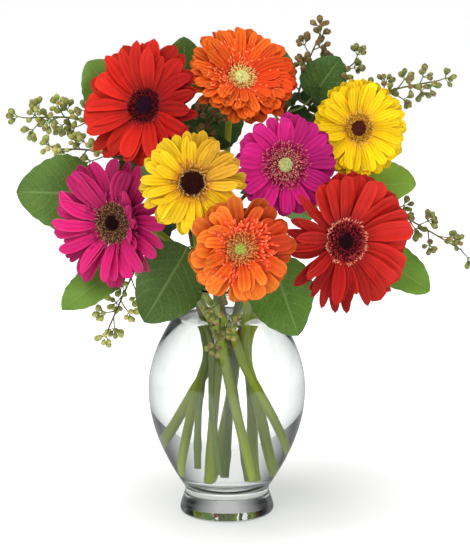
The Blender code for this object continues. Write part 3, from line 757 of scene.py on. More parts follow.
def make_eye(name):
    """Receptacle, shut buds and belts of open florets, joined into one piece."""
    head, rng = heads[name], own_chance(name, 7)
    far = head["eye"] + 1.0 * MM
    floor, (buds, share, size, rise, low, high), belts = EYES[name]
    batches = [
        eye_floor(head, far, EYE_RISE, floor),
        bud_dome(head, rng, buds, far * share, size * MM, rise * MM, low, high),
    ]
    for count, near, outer, length, thick, lean, foot, tip in belts:
        batches.append(strand_ring(
            head, rng, count, near * far, outer * far, length * MM, thick * MM, lean, foot, tip,
            lift=1.2 * MM * (1.2 - near)))
    piece = piece_from_batches(name + "_florets", batches)
    return finish_piece(piece, EYE_FINISH, frame_slot(name + "_disc"), name + "_disc")


for name in HEAD_NAMES:
    piece = make_eye(name)
    print(piece.name, len(piece.data.polygons), "faces")

# %% [markdown]
# ## Stems
#
# A gerbera stem is leafless, faintly ribbed and softly hairy, a little thicker and paler at its cut end.
# The centres of the CAD tube's rings give its route, and the section is a circle with shallow ribs. In
# the water the cut end shows the pale pith.

# %% Green stem finish
def make_stem_finish(name, roughness, rib, streak):
    """Streaked green with fine bumps; works for stems, bracts and branches by their tint."""
    material, tree, shader, uv, tint, place = new_material(
        name, Roughness=roughness, Specular_IOR_Level=0.35, Sheen_Weight=0.08)
    lines = place_group(tree, STREAKS, {"UV": uv, "Lines": rib, "Length": streak, "Contrast": 1.6})["Mask"]
    spots = place_group(tree, MOTTLE, {"Place": place, "Size": 70.0, "Fine Size": 1200.0})
    shade = mixed(tree, lines, (0.72, 0.72, 0.66), (1.18, 1.15, 1.1))
    patch = mixed(tree, spots["Mask"], (0.78, 0.84, 0.70), (1.18, 1.12, 1.2))
    coloured = mixed(tree, 1.0, tint, shade, "MULTIPLY")
    tree.links.new(mixed(tree, 1.0, coloured, patch, "MULTIPLY"), shader.inputs["Base Color"])
    height = sums(tree, "ADD", lines, sums(tree, "MULTIPLY", spots["Fine"], 0.4))
    add_bump(tree, shader, height, 0.0003, 0.5)
    return material


STEM_FINISH = make_stem_finish("green_stem", 0.42, 14.0, 5.0)
BRACT_FINISH = make_stem_finish("calyx_green", 0.6, 5.0, 1.5)
BARK_FINISH = make_stem_finish("twig_bark", 0.75, 9.0, 9.0)

# %% The stems' routes and section
STEM_RINGS, POINTS_PER_RING = 13, 8
LET_OUT, MOUTH_AT, DRAWN_IN, WAIST_AT, BELL = 0.52, 192 * MM, 0.24, 138 * MM, 26 * MM


def stem_route(node, count=90):
    """The CAD tube's centre line, from its lowest ring up. The bundle is drawn in a little at its waist
    and let out where it rests against the neck: the distance from the axis is multiplied there by one
    less or one plus a bell curve of the height."""
    points = node_points(node)
    lowest = points[np.argmin(points[:, 2])]
    route = smooth_route(ring_centres(points, lowest, POINTS_PER_RING, STEM_RINGS), count)
    spread = 1 + LET_OUT * np.exp(-(((route[:, 2] - MOUTH_AT) / BELL) ** 2))
    spread = spread - DRAWN_IN * np.exp(-(((route[:, 2] - WAIST_AT) / BELL) ** 2))
    return route * np.stack([spread, spread, np.ones(count)], axis=-1)


def swept_tube(route, radii, around, ribs=0, rib_depth=0.0, side=(1.0, 0.0, 0.0)):
    """A section carried along a route: radius times one plus a ripple of ribs round it."""
    tangents, sides, lifts = carried_frames(route, side)
    round_it = full_turn(around)
    ripple = 1 + rib_depth * np.cos(ribs * round_it)
    spread = np.asarray(radii)[:, None] * ripple
    return (
        route[:, None, :]
        + sides[:, None, :] * (spread * np.cos(round_it))[..., None]
        + lifts[:, None, :] * (spread * np.sin(round_it))[..., None]
    )


# %% Make the stems
def make_stem(name):
    """One gerbera stem: thick pale foot, slim neck, flared where it meets the head."""
    node = name + "_stem"
    route, rng = stem_route(node), own_chance(node)
    share = np.linspace(0, 1, len(route))
    wobble = np.cumsum(rng.normal(0, 0.012, len(route)))
    wobble -= np.linspace(wobble[0], wobble[-1], len(route))
    flare = np.clip((share - 0.96) / 0.04, 0, 1)
    radii = (3.15 - 0.45 * share + 0.9 * flare) * MM * (1 + wobble)
    radii[0] *= 0.86
    tube = swept_tube(route, radii, 24, ribs=8, rib_depth=0.045)
    colour = blended(STEM_PALE, STEM_GREEN, np.clip(share / 0.12, 0, 1) ** 0.7)
    colour = colour * (0.9 + 0.25 * np.sin(9 * share + rng.random() * 6) ** 2)[:, None]
    piece = piece_from_batches(name + "_flower_stem", [tube_batch(tube[None], colour[None, :, None, :])])
    return finish_piece(piece, STEM_FINISH, "stem_green", node)


for name in HEAD_NAMES:
    piece = make_stem(name)
    print(piece.name, len(piece.data.polygons), "faces")

# %% [markdown]
# ## Branches and their small leaves
#
# Woody branches stand between the stems and carry the greens. Behind the heads they still have small
# leaves, which fill the bouquet's dark inside. A leaf leaves its branch 137.5 degrees on from the last
# one, as a bud in the eye does, and its tip hangs.

# %% Small leaves in a spiral
def spiral_headings(frames, index, forward):
    """Directions off a route at the given points: each turned on by the golden angle from the last, and
    leaning forward along the route."""
    tangents, sides, lifts = frames
    turn = np.arange(len(index)) * GOLDEN
    outward = sides[index] * np.cos(turn)[:, None] + lifts[index] * np.sin(turn)[:, None]
    return unit(outward + tangents[index] * forward)


def leaflets(feet, headings, length, width, green, rng):
    """Small eucalyptus leaves: flat tubes, breadth a sine of the way along, the tip hanging down."""
    share = np.linspace(0.02, 1, 9)[None, :, None]
    size = length * (1 + rng.normal(0, 0.15, len(feet)))[:, None, None]
    line = feet[:, None] + headings[:, None] * share * size - UP * 0.25 * size * share**2
    side = unit(np.cross(headings, [0.25, -1.0, 0.3]))
    lift = np.cross(side, headings)
    turn = full_turn(10)
    breadth = width / 2 * np.sin(np.pi * np.clip(share, 0.02, 0.985)) ** 0.8
    points = (
        line[:, :, None, :] + side[:, None, None, :] * (breadth * np.cos(turn))[..., None]
        + lift[:, None, None, :] * (0.3 * MM * np.sin(turn) + 0.2 * breadth * np.cos(turn) ** 2)[..., None]
    )
    tint = green * (1 + rng.normal(0, 0.18, len(feet)))[:, None]
    return tube_batch(points, tint[:, None, None, :])


# %% Make the branches
LEAFY_FROM = 222 * MM


def make_branch(node):
    """A woody branch, swollen at its nodes, with hanging leaves on the part above the vase."""
    route, rng = stem_route(node, 80), own_chance(node)
    share = np.linspace(0, 1, len(route))
    swell = 0.22 * np.exp(-(((share * 9) % 1 - 0.5) / 0.12) ** 2)
    radii = (2.5 - 1.2 * share) * MM * (1 + swell)
    tube = swept_tube(route, radii, 14, ribs=5, rib_depth=0.05)
    colour = blended(BARK_GREEN, BARK, np.clip(share * 1.3, 0, 1))
    index = np.flatnonzero(route[:, 2] > LEAFY_FROM)[3::5]
    headings = spiral_headings(carried_frames(route, (1.0, 0.0, 0.0)), index, 0.35)
    leaves = leaflets(route[index], headings, 27 * MM, 17 * MM, by_eye(58, 88, 34), rng)
    piece = piece_from_batches(node + "_bark", [tube_batch(tube[None], colour[None, :, None, :]), leaves])
    return finish_piece(piece, BARK_FINISH, "bark", node)


for node in [name for name in frame["nodes"] if name.startswith("branch_")]:
    print(make_branch(node).name)

# %% [markdown]
# ## The calyx
#
# Behind the petals sits a green cup of narrow overlapping bracts. It shows from the sides and from
# behind. The cup is turned about the head's axis, and three rows of bracts are short pointed petals that
# hug it.

# %% Make the calyx
CUP_FOOT, CUP_TOP = 3.3 * MM, -2.9 * MM
# Each row of bracts: how many, how far up the cup, length share, rise and fall in degrees.
BRACT_ROWS = ((16, 0.10, 0.62, 62, 30), (20, 0.22, 0.74, 64, 24), (24, 0.36, 0.84, 60, 14))


def make_calyx(name):
    """A turned cup and three rows of bracts that lie along it."""
    head, rng = heads[name], own_chance(name, 3)
    deep = ((node_points(name + "_calyx") - head["centre"]) @ head["out"]).min()
    wide = head["eye"] * 0.86
    depth = np.linspace(0, 1, 12)
    radius = CUP_FOOT + (wide - CUP_FOOT) * np.sin(depth * np.pi / 2) ** 1.3
    height = deep + (CUP_TOP - deep) * depth
    round_it = full_turn(36)
    circle = np.cos(round_it)[:, None] * head["right"] + np.sin(round_it)[:, None] * head["up"]
    cup = head["centre"] + radius[:, None, None] * circle + height[:, None, None] * head["out"]
    batches = [tube_batch(cup[None], BRACT_GREEN * 0.8)]
    for row, (count, up_cup, size, rise, fall) in enumerate(BRACT_ROWS):
        start = CUP_FOOT + (wide - CUP_FOOT) * np.sin(up_cup * np.pi / 2) ** 1.3 + 0.3 * MM
        lift = deep + (CUP_TOP - deep) * up_cup
        points, along, angle = petal_ring(
            head, rng, count, start + (head["eye"] + 3 * MM) * size, 4.4 * MM, rise, fall, lift, claw=0.7,
            point=0.35, wild=0.5, channel=0.25, turn=0.5 * row, start=start, rows=9, roll=0.0)
        # The bracts get the same painted crease shade and margin highlight as the petals.
        tints = petal_tints(along, angle, rng, BRACT_GREEN * 0.85, BRACT_GREEN, BRACT_TIP)
        batches.append(tube_batch(points, tints, number=50 * row))
    piece = piece_from_batches(name + "_bracts", batches)
    return finish_piece(piece, BRACT_FINISH, "stem_green", name + "_calyx")


for name in HEAD_NAMES:
    print(make_calyx(name).name)

# %% [markdown]
# ## Broad leaves
#
# The greens have leathery oval leaves with a pale midrib and veins that leave it in pairs and curve
# towards the tip. The blade swells a little between the veins and its margin waves. The CAD leaf gives
# its stalk, base, tip, width and the way it faces. The stalk's rows of corners lie close together, which
# is how they are told from the blade's.

# %% Measure a leaf
LEAF_RING, CROWDED = 10, 2.9 * MM


def leaf_frame(node):
    """Stalk centres from foot to base, tip, half width, and the blade's axes and arch."""
    points = node_points(node)
    gaps = np.linalg.norm(points[:, None] - points[None], axis=2)
    crowding = np.sort(gaps, axis=1)[:, LEAF_RING - 1]
    tip = points[np.argsort(crowding)[:LEAF_RING]].mean(axis=0)
    narrow, broad = points[crowding < CROWDED], points[crowding >= CROWDED]
    foot = narrow[np.argmax(np.linalg.norm(narrow[:, None] - broad[None], axis=2).min(axis=1))]
    stalk = ring_centres(narrow[np.linalg.norm(narrow - tip, axis=1) > 6 * MM], foot, LEAF_RING, 4)
    along = unit(tip - stalk[-1])
    rest = points - stalk[-1]
    ahead = rest @ along
    blade = rest[ahead > 4 * MM]
    flat = blade - (blade @ along)[:, None] * along
    across = np.linalg.svd(flat - flat.mean(axis=0), full_matrices=False)[2][0]
    face = unit(np.cross(along, across))
    if (flat @ face).mean() < 0:
        face, across = -face, -across
    offset = flat @ across
    return {
        "stalk": stalk, "tip": tip, "length": np.linalg.norm(tip - stalk[-1]), "along": along,
        "across": across, "face": face, "half": (offset.max() - offset.min()) / 2,
        "arch": np.median((flat @ face)[np.abs(offset) < 2 * MM]),
    }


# %% Leaf finish
VEIN_PAIRS, VEIN_SWEEP, VEIN_BEND = 8, 0.30, 1.25


def make_leaf_skin():
    """Green leather. Veins are computed from the UV map: the distance across the blade pulls the
    position along it back, so lines of equal value sweep forward from the midrib like real veins."""
    material, tree, shader, uv, tint, place = new_material(
        "green_leaf", Roughness=0.42, Specular_IOR_Level=0.45, Sheen_Weight=0.05)
    parts = add_node(tree, "ShaderNodeSeparateXYZ", {0: uv})
    doubled = sums(tree, "MULTIPLY", sums(tree, "SUBTRACT", parts.outputs[1], 0.5), 2.0)
    across = sums(tree, "ABSOLUTE", doubled, 0.0)
    pull = sums(tree, "MULTIPLY", sums(tree, "POWER", across, VEIN_BEND), VEIN_SWEEP)
    swept = sums(tree, "SUBTRACT", parts.outputs[0], pull)
    saw = sums(tree, "FRACT", sums(tree, "MULTIPLY", swept, float(VEIN_PAIRS)), 0.0)
    distance = sums(tree, "ABSOLUTE", sums(tree, "SUBTRACT", saw, 0.5), 0.0)
    side_veins = ramp(tree, distance, 0.0, 0.07, 1.0, 0.0)
    midrib = ramp(tree, across, 0.015, 0.06, 1.0, 0.0)
    veins = sums(tree, "MAXIMUM", sums(tree, "MULTIPLY", side_veins, 0.55), midrib)
    net = add_node(tree, "ShaderNodeTexVoronoi", {"Vector": place, "Scale": 330.0},
                   feature="DISTANCE_TO_EDGE").outputs[0]
    mesh_lines = ramp(tree, net, 0.0, 0.09, 1.0, 0.0)
    spots = place_group(tree, MOTTLE, {"Place": place, "Size": 45.0, "Fine Size": 700.0})
    patch = mixed(tree, spots["Mask"], (0.70, 0.76, 0.62), (1.25, 1.18, 1.15))
    green = mixed(tree, 1.0, tint, patch, "MULTIPLY")
    lined = mixed(tree, sums(tree, "MULTIPLY", mesh_lines, 0.16), green, (0.30, 0.42, 0.10))
    pale = mixed(tree, sums(tree, "MULTIPLY", veins, 0.30), lined, (0.30, 0.42, 0.13))
    tree.links.new(pale, shader.inputs["Base Color"])
    height = sums(tree, "ADD", sums(tree, "MULTIPLY", veins, -0.8), sums(tree, "MULTIPLY", mesh_lines, -0.25))
    add_bump(tree, shader, height, 0.0004, 0.7)
    tree.links.new(ramp(tree, spots["Fine"], 0.3, 0.7, 0.34, 0.52), shader.inputs["Roughness"])
    return material


LEAF_SKIN = make_leaf_skin()

# %% Leaf colours and habits
# Each leaf's green, and how much its margin waves. leaf_front_left's darker green is partly painted
# shade, as that leaf lies partly in shadow.
LEAF_HABITS = {
    "leaf_left_high": (by_eye(90, 124, 40), 1.0), "leaf_top_left": (by_eye(66, 98, 36), 0.8),
    "leaf_top_right": (by_eye(72, 110, 34), 0.8), "leaf_upper_right": (by_eye(54, 88, 30), 1.0),
    "leaf_right": (by_eye(122, 160, 52), 1.2), "leaf_right_low": (by_eye(102, 142, 44), 1.2),
    "leaf_front_right": (by_eye(76, 114, 34), 0.8), "leaf_front_left": (by_eye(62, 92, 32), 1.0),
    "leaf_left_low": (by_eye(98, 134, 44), 1.0), "leaf_left": (by_eye(78, 110, 40), 1.2),
    "leaf_centre": (by_eye(52, 84, 34), 0.8), "leaf_back_left": (by_eye(76, 110, 38), 1.2),
    "leaf_back_right": (by_eye(84, 122, 40), 1.2),
}

# %% Make the leaves
def make_leaf(node):
    """A blade pressed flat from a tube, with a fold along the midrib, quilting between the side veins
    and a waving margin, and its stalk as a second, round tube that runs into the midrib."""
    leaf, rng = leaf_frame(node), own_chance(node)
    green, wave = LEAF_HABITS[node]
    rows, around = 40, 44
    along = np.linspace(0, 1, rows)[:, None]
    round_it = full_turn(around)
    across = np.sign(np.cos(round_it)) * np.abs(np.cos(round_it)) ** 0.8
    outline = np.sin(np.pi * np.clip(along, 0, 1) ** 0.8) ** 0.60 * (1.03 - 0.10 * along)
    half = leaf["half"] * np.maximum(outline, 0.02)
    edge = 1 + 0.02 * np.sin(along * 47 + rng.random() * 6) * (along < 0.96)
    side = across * half * edge
    swept = along - VEIN_SWEEP * np.abs(across) ** VEIN_BEND
    quilt = 0.45 * MM * np.sin(np.pi * swept * VEIN_PAIRS) ** 2
    quilt = quilt * np.abs(across) ** 0.4 * (1 - np.abs(across) ** 4)
    ripple = wave * 1.6 * MM * np.sin(along * 11 + 2.2 * np.sign(across) + rng.random() * 6) * across**2
    fold = 0.15 * np.abs(side) - 0.5 * MM * np.exp(-(across / 0.06) ** 2)
    lift = leaf["arch"] * np.sin(np.pi * along) + fold + quilt + ripple
    thick = 0.32 * MM * np.sin(round_it) * np.sin(np.pi * np.clip(along, 0.03, 0.985)) ** 0.3
    place = (
        leaf["stalk"][-1] + leaf["along"] * (leaf["length"] * along)[..., None]
        + leaf["across"] * side[..., None] + leaf["face"] * (lift + thick)[..., None]
    )
    uv = np.stack([
        np.broadcast_to(along, side.shape), 0.5 + 0.5 * np.broadcast_to(across, side.shape)], axis=-1)
    under = np.where(np.sin(round_it) < -0.05, 1.0, 0.0)
    tint = blended(green, green * 1.25 + by_eye(40, 48, 34), np.broadcast_to(under, side.shape))
    blade = (place[None], uv[None], tint[None])
    inner = np.array([0.12, 0.34])
    inward = leaf["stalk"][-1] + leaf["along"] * leaf["length"] * inner[:, None]
    inward = inward + leaf["face"] * (leaf["arch"] * np.sin(np.pi * inner) - 0.7 * MM)[:, None]
    route = smooth_route(np.concatenate([leaf["stalk"], inward]), 24)
    share = np.linspace(0, 1, 24)
    stalk = swept_tube(route, (1.05 - 0.75 * share**1.3) * MM, 10, side=leaf["across"])
    stalk_uv = np.stack([np.full((24, 10), 0.5), np.full((24, 10), 0.8)], axis=-1)
    stalk_tint = np.broadcast_to(blended(green, by_eye(150, 176, 92), 0.5), (24, 10, 3))
    piece = piece_from_batches(node + "_blade", [blade, (stalk[None], stalk_uv[None], stalk_tint[None])])
    return finish_piece(piece, LEAF_SKIN, "leaf_green", node)


for node in LEAF_HABITS:
    piece = make_leaf(node)
    print(piece.name, len(piece.data.polygons), "faces")

# %% [markdown]
# ## Seeded eucalyptus
#
# Each sprig is a drooping twig that branches again and again. The last twigs end in small umbels:
# capsules on short stalks that spread from one point. A capsule is a narrow cup that swells and ends in
# a pointed lid. The CAD twig's first rings and its far end give the route, and everything on it is
# grown from the same tube function. Some sprigs have kept small leaves, from the foot up.

# %% Parts of a sprig
def square_to(headings):
    """Two unit vectors square to each heading and to each other."""
    steep = np.abs(headings[:, 2:]) > 0.9
    side = unit(np.cross(headings, np.where(steep, [[1.0, 0, 0]], [[0, 0, 1.0]])))
    return side, np.cross(headings, side)


def round_sections(line, side, lift, radius, around):
    """Circles about each point of each line, as the sum of two square vectors times cosine and sine."""
    turn = full_turn(around)
    return (
        line[:, :, None, :] + side[:, None, None, :] * (radius * np.cos(turn))[..., None]
        + lift[:, None, None, :] * (radius * np.sin(turn))[..., None]
    )


def sprig_route(node):
    """The twig's line: the first three rings of the CAD twig, then its far end."""
    points = node_points(node)
    foot = points[np.argmax(np.linalg.norm(points - points.mean(axis=0), axis=1))]
    start = ring_centres(points, foot, 4, 3)
    order = np.argsort(np.linalg.norm(points - foot, axis=1))
    end = points[order[-len(points) // 8:]].mean(axis=0)
    ahead = start[-1] + (end - start[-1]) * 0.55 + UP * 0.05 * np.linalg.norm(end - start[-1])
    return smooth_route(np.vstack([start, ahead, end]), 40)


def twig_tubes(feet, ends, thick, sag, rows=7, around=6):
    """Straight to slightly sagging twigs from each foot to its end, tapering a little."""
    share = np.linspace(0, 1, rows)[None, :, None]
    line = feet[:, None] * (1 - share) + ends[:, None] * share
    line = line - UP * sag * np.sin(np.pi * share) * np.linalg.norm(ends - feet, axis=1)[:, None, None]
    side, lift = square_to(unit(ends - feet))
    radius = np.broadcast_to(thick * (1 - 0.3 * share) / 2, (len(feet), rows, 1))
    return round_sections(line, side, lift, radius, around)


LID_FROM = 0.81


def capsules(feet, headings, length, width, rng, seed, cap):
    """Seed capsules: a narrow foot that swells to two thirds of the height, then a pointed lid."""
    share = np.array([0.0, 0.12, 0.3, 0.5, 0.68, 0.80, 0.86, 0.94, 1.0])
    swell = np.array([0.18, 0.40, 0.74, 0.97, 1.0, 0.86, 0.66, 0.34, 0.05])
    size = (1 + rng.normal(0, 0.10, len(feet)))[:, None]
    side, lift = square_to(headings)
    line = feet[:, None] + headings[:, None] * (share * length * size)[..., None]
    points = round_sections(line, side, lift, (swell * width / 2 * size)[..., None], 8)
    colour = blended(seed * 0.5, seed, np.clip(share / 0.5, 0, 1))
    colour = np.where((share > LID_FROM)[:, None], cap, colour)
    colour = colour[None] * (1 + rng.normal(0, 0.16, len(feet)))[:, None, None]
    return tube_batch(points, colour[:, :, None, :])


def cone_spread(headings, copies, angle, rng):
    """Several unit vectors round each heading, tilted from it by about the angle in degrees."""
    side, lift = square_to(headings)
    turn = 2 * np.pi * (np.arange(copies)[None] + rng.random((len(headings), 1))) / copies
    turn = turn + rng.normal(0, 0.25, turn.shape)
    tilt = np.radians(angle * (1 + rng.normal(0, 0.25, turn.shape)))
    tilt[:, 0] *= 0.25
    spread = side[:, None] * np.cos(turn)[..., None] + lift[:, None] * np.sin(turn)[..., None]
    return unit(headings[:, None] * np.cos(tilt)[..., None] + spread * np.sin(tilt)[..., None])


# %% Grow a sprig
SEED_FINISH = make_stem_finish("eucalyptus_seed", 0.62, 3.0, 1.0)
TWIG_SIDE = (0.3, 0.2, 0.93)


def make_sprig(node, twigs, spread, seeds, colours, leaves=0):
    """Main twig, side twigs by the golden angle, an umbel of capsules on each, and small leaves from the
    twig's foot up."""
    route, rng = sprig_route(node), own_chance(node)
    frames = carried_frames(route, TWIG_SIDE)
    spots = np.linspace(0.36, 1.0, twigs)
    index = (spots * (len(route) - 1)).astype(int)
    headings = spiral_headings(frames, index, 0.75 + 1.6 * (spots[:, None] > 0.98))
    reach = spread * MM * (1.05 - 0.45 * spots) * (1 + rng.normal(0, 0.15, twigs))
    ends = route[index] + headings * reach[:, None]
    umbel = cone_spread(headings, seeds, 52, rng).reshape(-1, 3)
    roots = np.repeat(ends, seeds, axis=0)
    tips = roots + umbel * 3.8 * MM
    share = np.linspace(0, 1, len(route))
    main = swept_tube(route, (1.05 - 0.40 * share) * MM, 8, side=TWIG_SIDE)
    shade = blended(BARK, BARK_GREEN, 0.35)
    batches = [
        tube_batch(main[None], shade),
        tube_batch(twig_tubes(route[index], ends, 1.3 * MM, 0.04), shade),
        tube_batch(twig_tubes(roots, tips, 0.9 * MM, 0.0, rows=3), blended(BARK_GREEN, colours[0], 0.4)),
        capsules(tips - umbel * 0.3 * MM, umbel, 7.0 * MM, 4.8 * MM, rng, *colours),
    ]
    if leaves:
        spot = np.linspace(0.02, 0.05 + 0.05 * leaves, leaves)
        index = (spot * (len(route) - 1)).astype(int)
        headings = spiral_headings(frames, index, 0.5)
        batches.append(leaflets(route[index], headings, 24 * MM, 13 * MM, by_eye(52, 80, 32), rng))
    piece = piece_from_batches(node + "_seeds", batches)
    return finish_piece(piece, SEED_FINISH, "seed_green", node)


# %% The sprigs' habits
YOUNG = (by_eye(180, 188, 108), by_eye(190, 176, 110))
GREEN = (by_eye(142, 154, 76), by_eye(134, 118, 62))
RIPE = (by_eye(132, 140, 74), by_eye(122, 92, 58))
BROWN = (by_eye(124, 106, 62), by_eye(112, 74, 46))
# Each sprig: side twigs, how far they stand out (mm), capsules in an umbel, colours of capsule and lid,
# and how many small leaves it has kept.
SPRIGS = {
    "sprig_left_high": (12, 15, 6, GREEN), "sprig_left": (9, 14, 6, YOUNG, 4),
    "sprig_top_right": (9, 14, 5, BROWN, 5), "sprig_right_top": (11, 14, 5, RIPE),
    "sprig_upper_right": (7, 13, 5, RIPE, 5), "sprig_right": (13, 16, 6, RIPE, 5),
    "sprig_left_low": (11, 16, 6, YOUNG, 6), "sprig_centre": (9, 13, 6, BROWN, 14),
    "sprig_front": (7, 11, 5, RIPE),
}

for node, habit in SPRIGS.items():
    print(make_sprig(node, *habit).name)

# %% [markdown]
# ## The vase and the water
#
# Clear glass shows itself only by what it bends and reflects, so its shape must be smooth and its
# thickness real. The outside is a cosine below and above the belly, a cubic into the neck and a flared
# lip, and the inside is the same curve one wall further in, with a rounded floor over a solid foot. The
# water reaches a hair into the glass instead of stopping short of it: with a film of air between them,
# the wall would shine like a mirror.

# %% The profile, as the CAD has it
VASE_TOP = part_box("vase")[1][2]
BELLY, NECK, LIP = 67.6 * MM, 43.3 * MM, 52.0 * MM
BELLY_AT, SHOULDER_AT, NECK_AT = 108 * MM, 165 * MM, 180 * MM
TURN_BELOW, TURN_ABOVE = math.radians(0.67) / MM, math.radians(0.75) / MM
WALL, FLOOR_AT, FLOOR_ROUND, WATER_AT = 3.2 * MM, 23 * MM, 13 * MM, 172 * MM


def outside(height):
    """The outer radius at each height, piece by piece."""
    low = BELLY * np.cos(TURN_BELOW * (BELLY_AT - height))
    high = BELLY * np.cos(TURN_ABOVE * (height - BELLY_AT))
    bend = TURN_ABOVE * (SHOULDER_AT - BELLY_AT)
    rise = NECK_AT - SHOULDER_AT
    s = np.clip((height - SHOULDER_AT) / rise, 0, 1)
    slope = -BELLY * TURN_ABOVE * np.sin(bend) * rise
    shoulder = BELLY * np.cos(bend) * (2 * s**3 - 3 * s**2 + 1) + slope * (s**3 - 2 * s**2 + s)
    shoulder = shoulder + NECK * (3 * s**2 - 2 * s**3)
    flare = NECK + (LIP - NECK) * ((height - NECK_AT) / (VASE_TOP - NECK_AT)) ** 2
    spans = [height <= BELLY_AT, height <= SHOULDER_AT, height <= NECK_AT]
    return np.select(spans, [low, high, shoulder], flare)


def inside(height, wall):
    """The hollow's radius: one wall in, and an ellipse where the floor rounds up."""
    low = np.clip(1 - (height - FLOOR_AT) / FLOOR_ROUND, 0, 1)
    return (outside(height) - wall) * np.sqrt(np.clip(1 - low**2, 0, 1))


def turned_piece(name, radius, height, around=160):
    """A profile that starts and ends on the axis, turned once round; each end is closed by a fan."""
    turn = full_turn(around)
    points = np.stack([
        radius[1:-1, None] * np.cos(turn), radius[1:-1, None] * np.sin(turn),
        np.broadcast_to(height[1:-1, None], (len(height) - 2, around))], axis=-1)
    rows = len(points)
    quads = batch_faces(1, rows, around, 0)[0]
    poles = np.array([[0, 0, height[0]], [0, 0, height[-1]]])
    count = rows * around
    here, after = np.arange(around), (np.arange(around) + 1) % around
    first = np.stack([np.full(around, count), after, here], axis=-1)
    last = np.stack([np.full(around, count + 1), here + count - around, after + count - around], axis=-1)
    everything = np.concatenate([points.reshape(-1, 3), poles])
    plain_uv, plain_tint = np.zeros((count + 2, 2)), np.ones((count + 2, 3))
    return build_mesh(name, everything, [quads, first, last], plain_uv, plain_tint)


# %% Clear glass and water
EDGE_SHADE_GREY, THROUGH_COLOUR = (0.18, 0.21, 0.24), (0.84, 0.86, 0.85, 1.0)


def make_clear(name, colour, ior, edge_shade):
    """A plain transmissive finish; absorption is left out because the walls are thin and pale. A grey that
    grows with the glancing angle to the power 1.5 partly stands in for it and partly is painted shade that
    darkens the glass towards its edges. Lamps and scattered light pass straight through, as they nearly do
    through a thin wall: without that, the stems inside would stand in the dark."""
    material = bpy.data.materials.new(name)
    material.use_nodes = True
    tree = material.node_tree
    shader = tree.nodes["Principled BSDF"]
    for socket, value in (("Roughness", 0.0), ("IOR", ior), ("Transmission Weight", 1.0), ("Metallic", 0.0)):
        shader.inputs[socket].default_value = value
    # Painted shade: a grey that grows towards the glancing edges of the glass, partly standing in for
    # absorption.
    graze = add_node(tree, "ShaderNodeLayerWeight", {"Blend": 0.5}).outputs["Facing"]
    edge = sums(tree, "MULTIPLY", sums(tree, "POWER", graze, 1.5), edge_shade)
    tree.links.new(mixed(tree, edge, colour, EDGE_SHADE_GREY), shader.inputs["Base Color"])
    ray = add_node(tree, "ShaderNodeLightPath")
    either = sums(tree, "MAXIMUM", ray.outputs["Is Shadow Ray"], ray.outputs["Is Diffuse Ray"])
    through = add_node(tree, "ShaderNodeBsdfTransparent", {"Color": THROUGH_COLOUR})
    choice = add_node(tree, "ShaderNodeMixShader", {0: either, 1: shader.outputs[0], 2: through.outputs[0]})
    tree.links.new(choice.outputs[0], tree.nodes["Material Output"].inputs["Surface"])
    return material


GLASS = make_clear("clear_glass", (0.985, 0.995, 0.99), 1.47, 0.95)
WATER = make_clear("clear_water", (0.985, 0.995, 0.985), 1.333, 0.3)

# %% Make the vase and the water
# The foot's outside from the waist above it to the middle of its underside: radius, height (mm).
FOOT = np.array([
    (36.6, 22.6), (36.2, 20.5), (36.4, 18.0), (37.2, 15.0), (38.4, 11.5), (39.6, 8.0), (40.4, 5.2),
    (40.6, 3.6), (40.4, 2.0), (39.8, 0.8), (39.0, 0.0), (0.0, 0.0)]) * MM
FOOT_FROM, LIP_FROM, OVERLAP = 25 * MM, VASE_TOP - 3 * MM, 0.3 * MM


def make_vase():
    """Profile from the middle of the floor, up the inside, over the lip, down the outside and under."""
    floor = FLOOR_AT + FLOOR_ROUND * (1 - np.cos(np.linspace(0, np.pi / 2, 14)))
    up = np.linspace(FLOOR_AT + FLOOR_ROUND + 2 * MM, LIP_FROM, 60)
    hollow = np.concatenate([floor, up])
    lip_turn = np.radians([165, 140, 115, 90, 65, 40, 15])
    lip_radius = LIP - WALL / 2 + WALL / 2 * np.cos(lip_turn)
    lip_height = VASE_TOP - WALL / 2 + WALL / 2 * np.sin(lip_turn)
    down = np.linspace(LIP_FROM, FOOT_FROM, 80)
    radius = np.concatenate([inside(hollow, WALL), lip_radius, outside(down), FOOT[:, 0]])
    height = np.concatenate([hollow, lip_height, down, FOOT[:, 1]])
    radius[0] = 0.0
    piece = turned_piece("glass_vase", radius[::-1], height[::-1])
    return finish_piece(piece, GLASS, "clear_glass", "vase")


def make_water():
    """The hollow up to the water line, a hair into the glass, with the water drawn up at the wall."""
    floor = FLOOR_AT - OVERLAP + FLOOR_ROUND * (1 - np.cos(np.linspace(0, np.pi / 2, 14)))
    up = np.linspace(FLOOR_AT + FLOOR_ROUND + 2 * MM, WATER_AT, 60)
    side = np.concatenate([floor, up])
    radius = inside(np.maximum(side, FLOOR_AT), WALL - OVERLAP)
    surface = radius[-1] - np.array([0.8, 1.8, 3.2, 6.0]) * MM
    climb = WATER_AT - np.array([0.5, 0.9, 1.15, 1.25]) * MM
    radius = np.concatenate([radius, surface, [0.0]])
    height = np.concatenate([side, climb, [climb[-1]]])
    radius[0] = 0.0
    piece = turned_piece("vase_water", radius, height)
    return finish_piece(piece, WATER, "water", "water")


print(make_vase().name, make_water().name)

# %% [markdown]
# ## The set
#
# A large pale floor fills the view. Light comes from all round, less from the two sides, so that the
# glass shows darker edges there. Soft lamps in front and above give the petals their form, and one
# behind lights the leaves from the back. White glare on the glass would bleach the stems inside it, so
# the floor and the sky are darker for rays that the glass has mirrored.

# %% What the glass mirrors
FEWEST_FAR_BOUNCES = 4.5


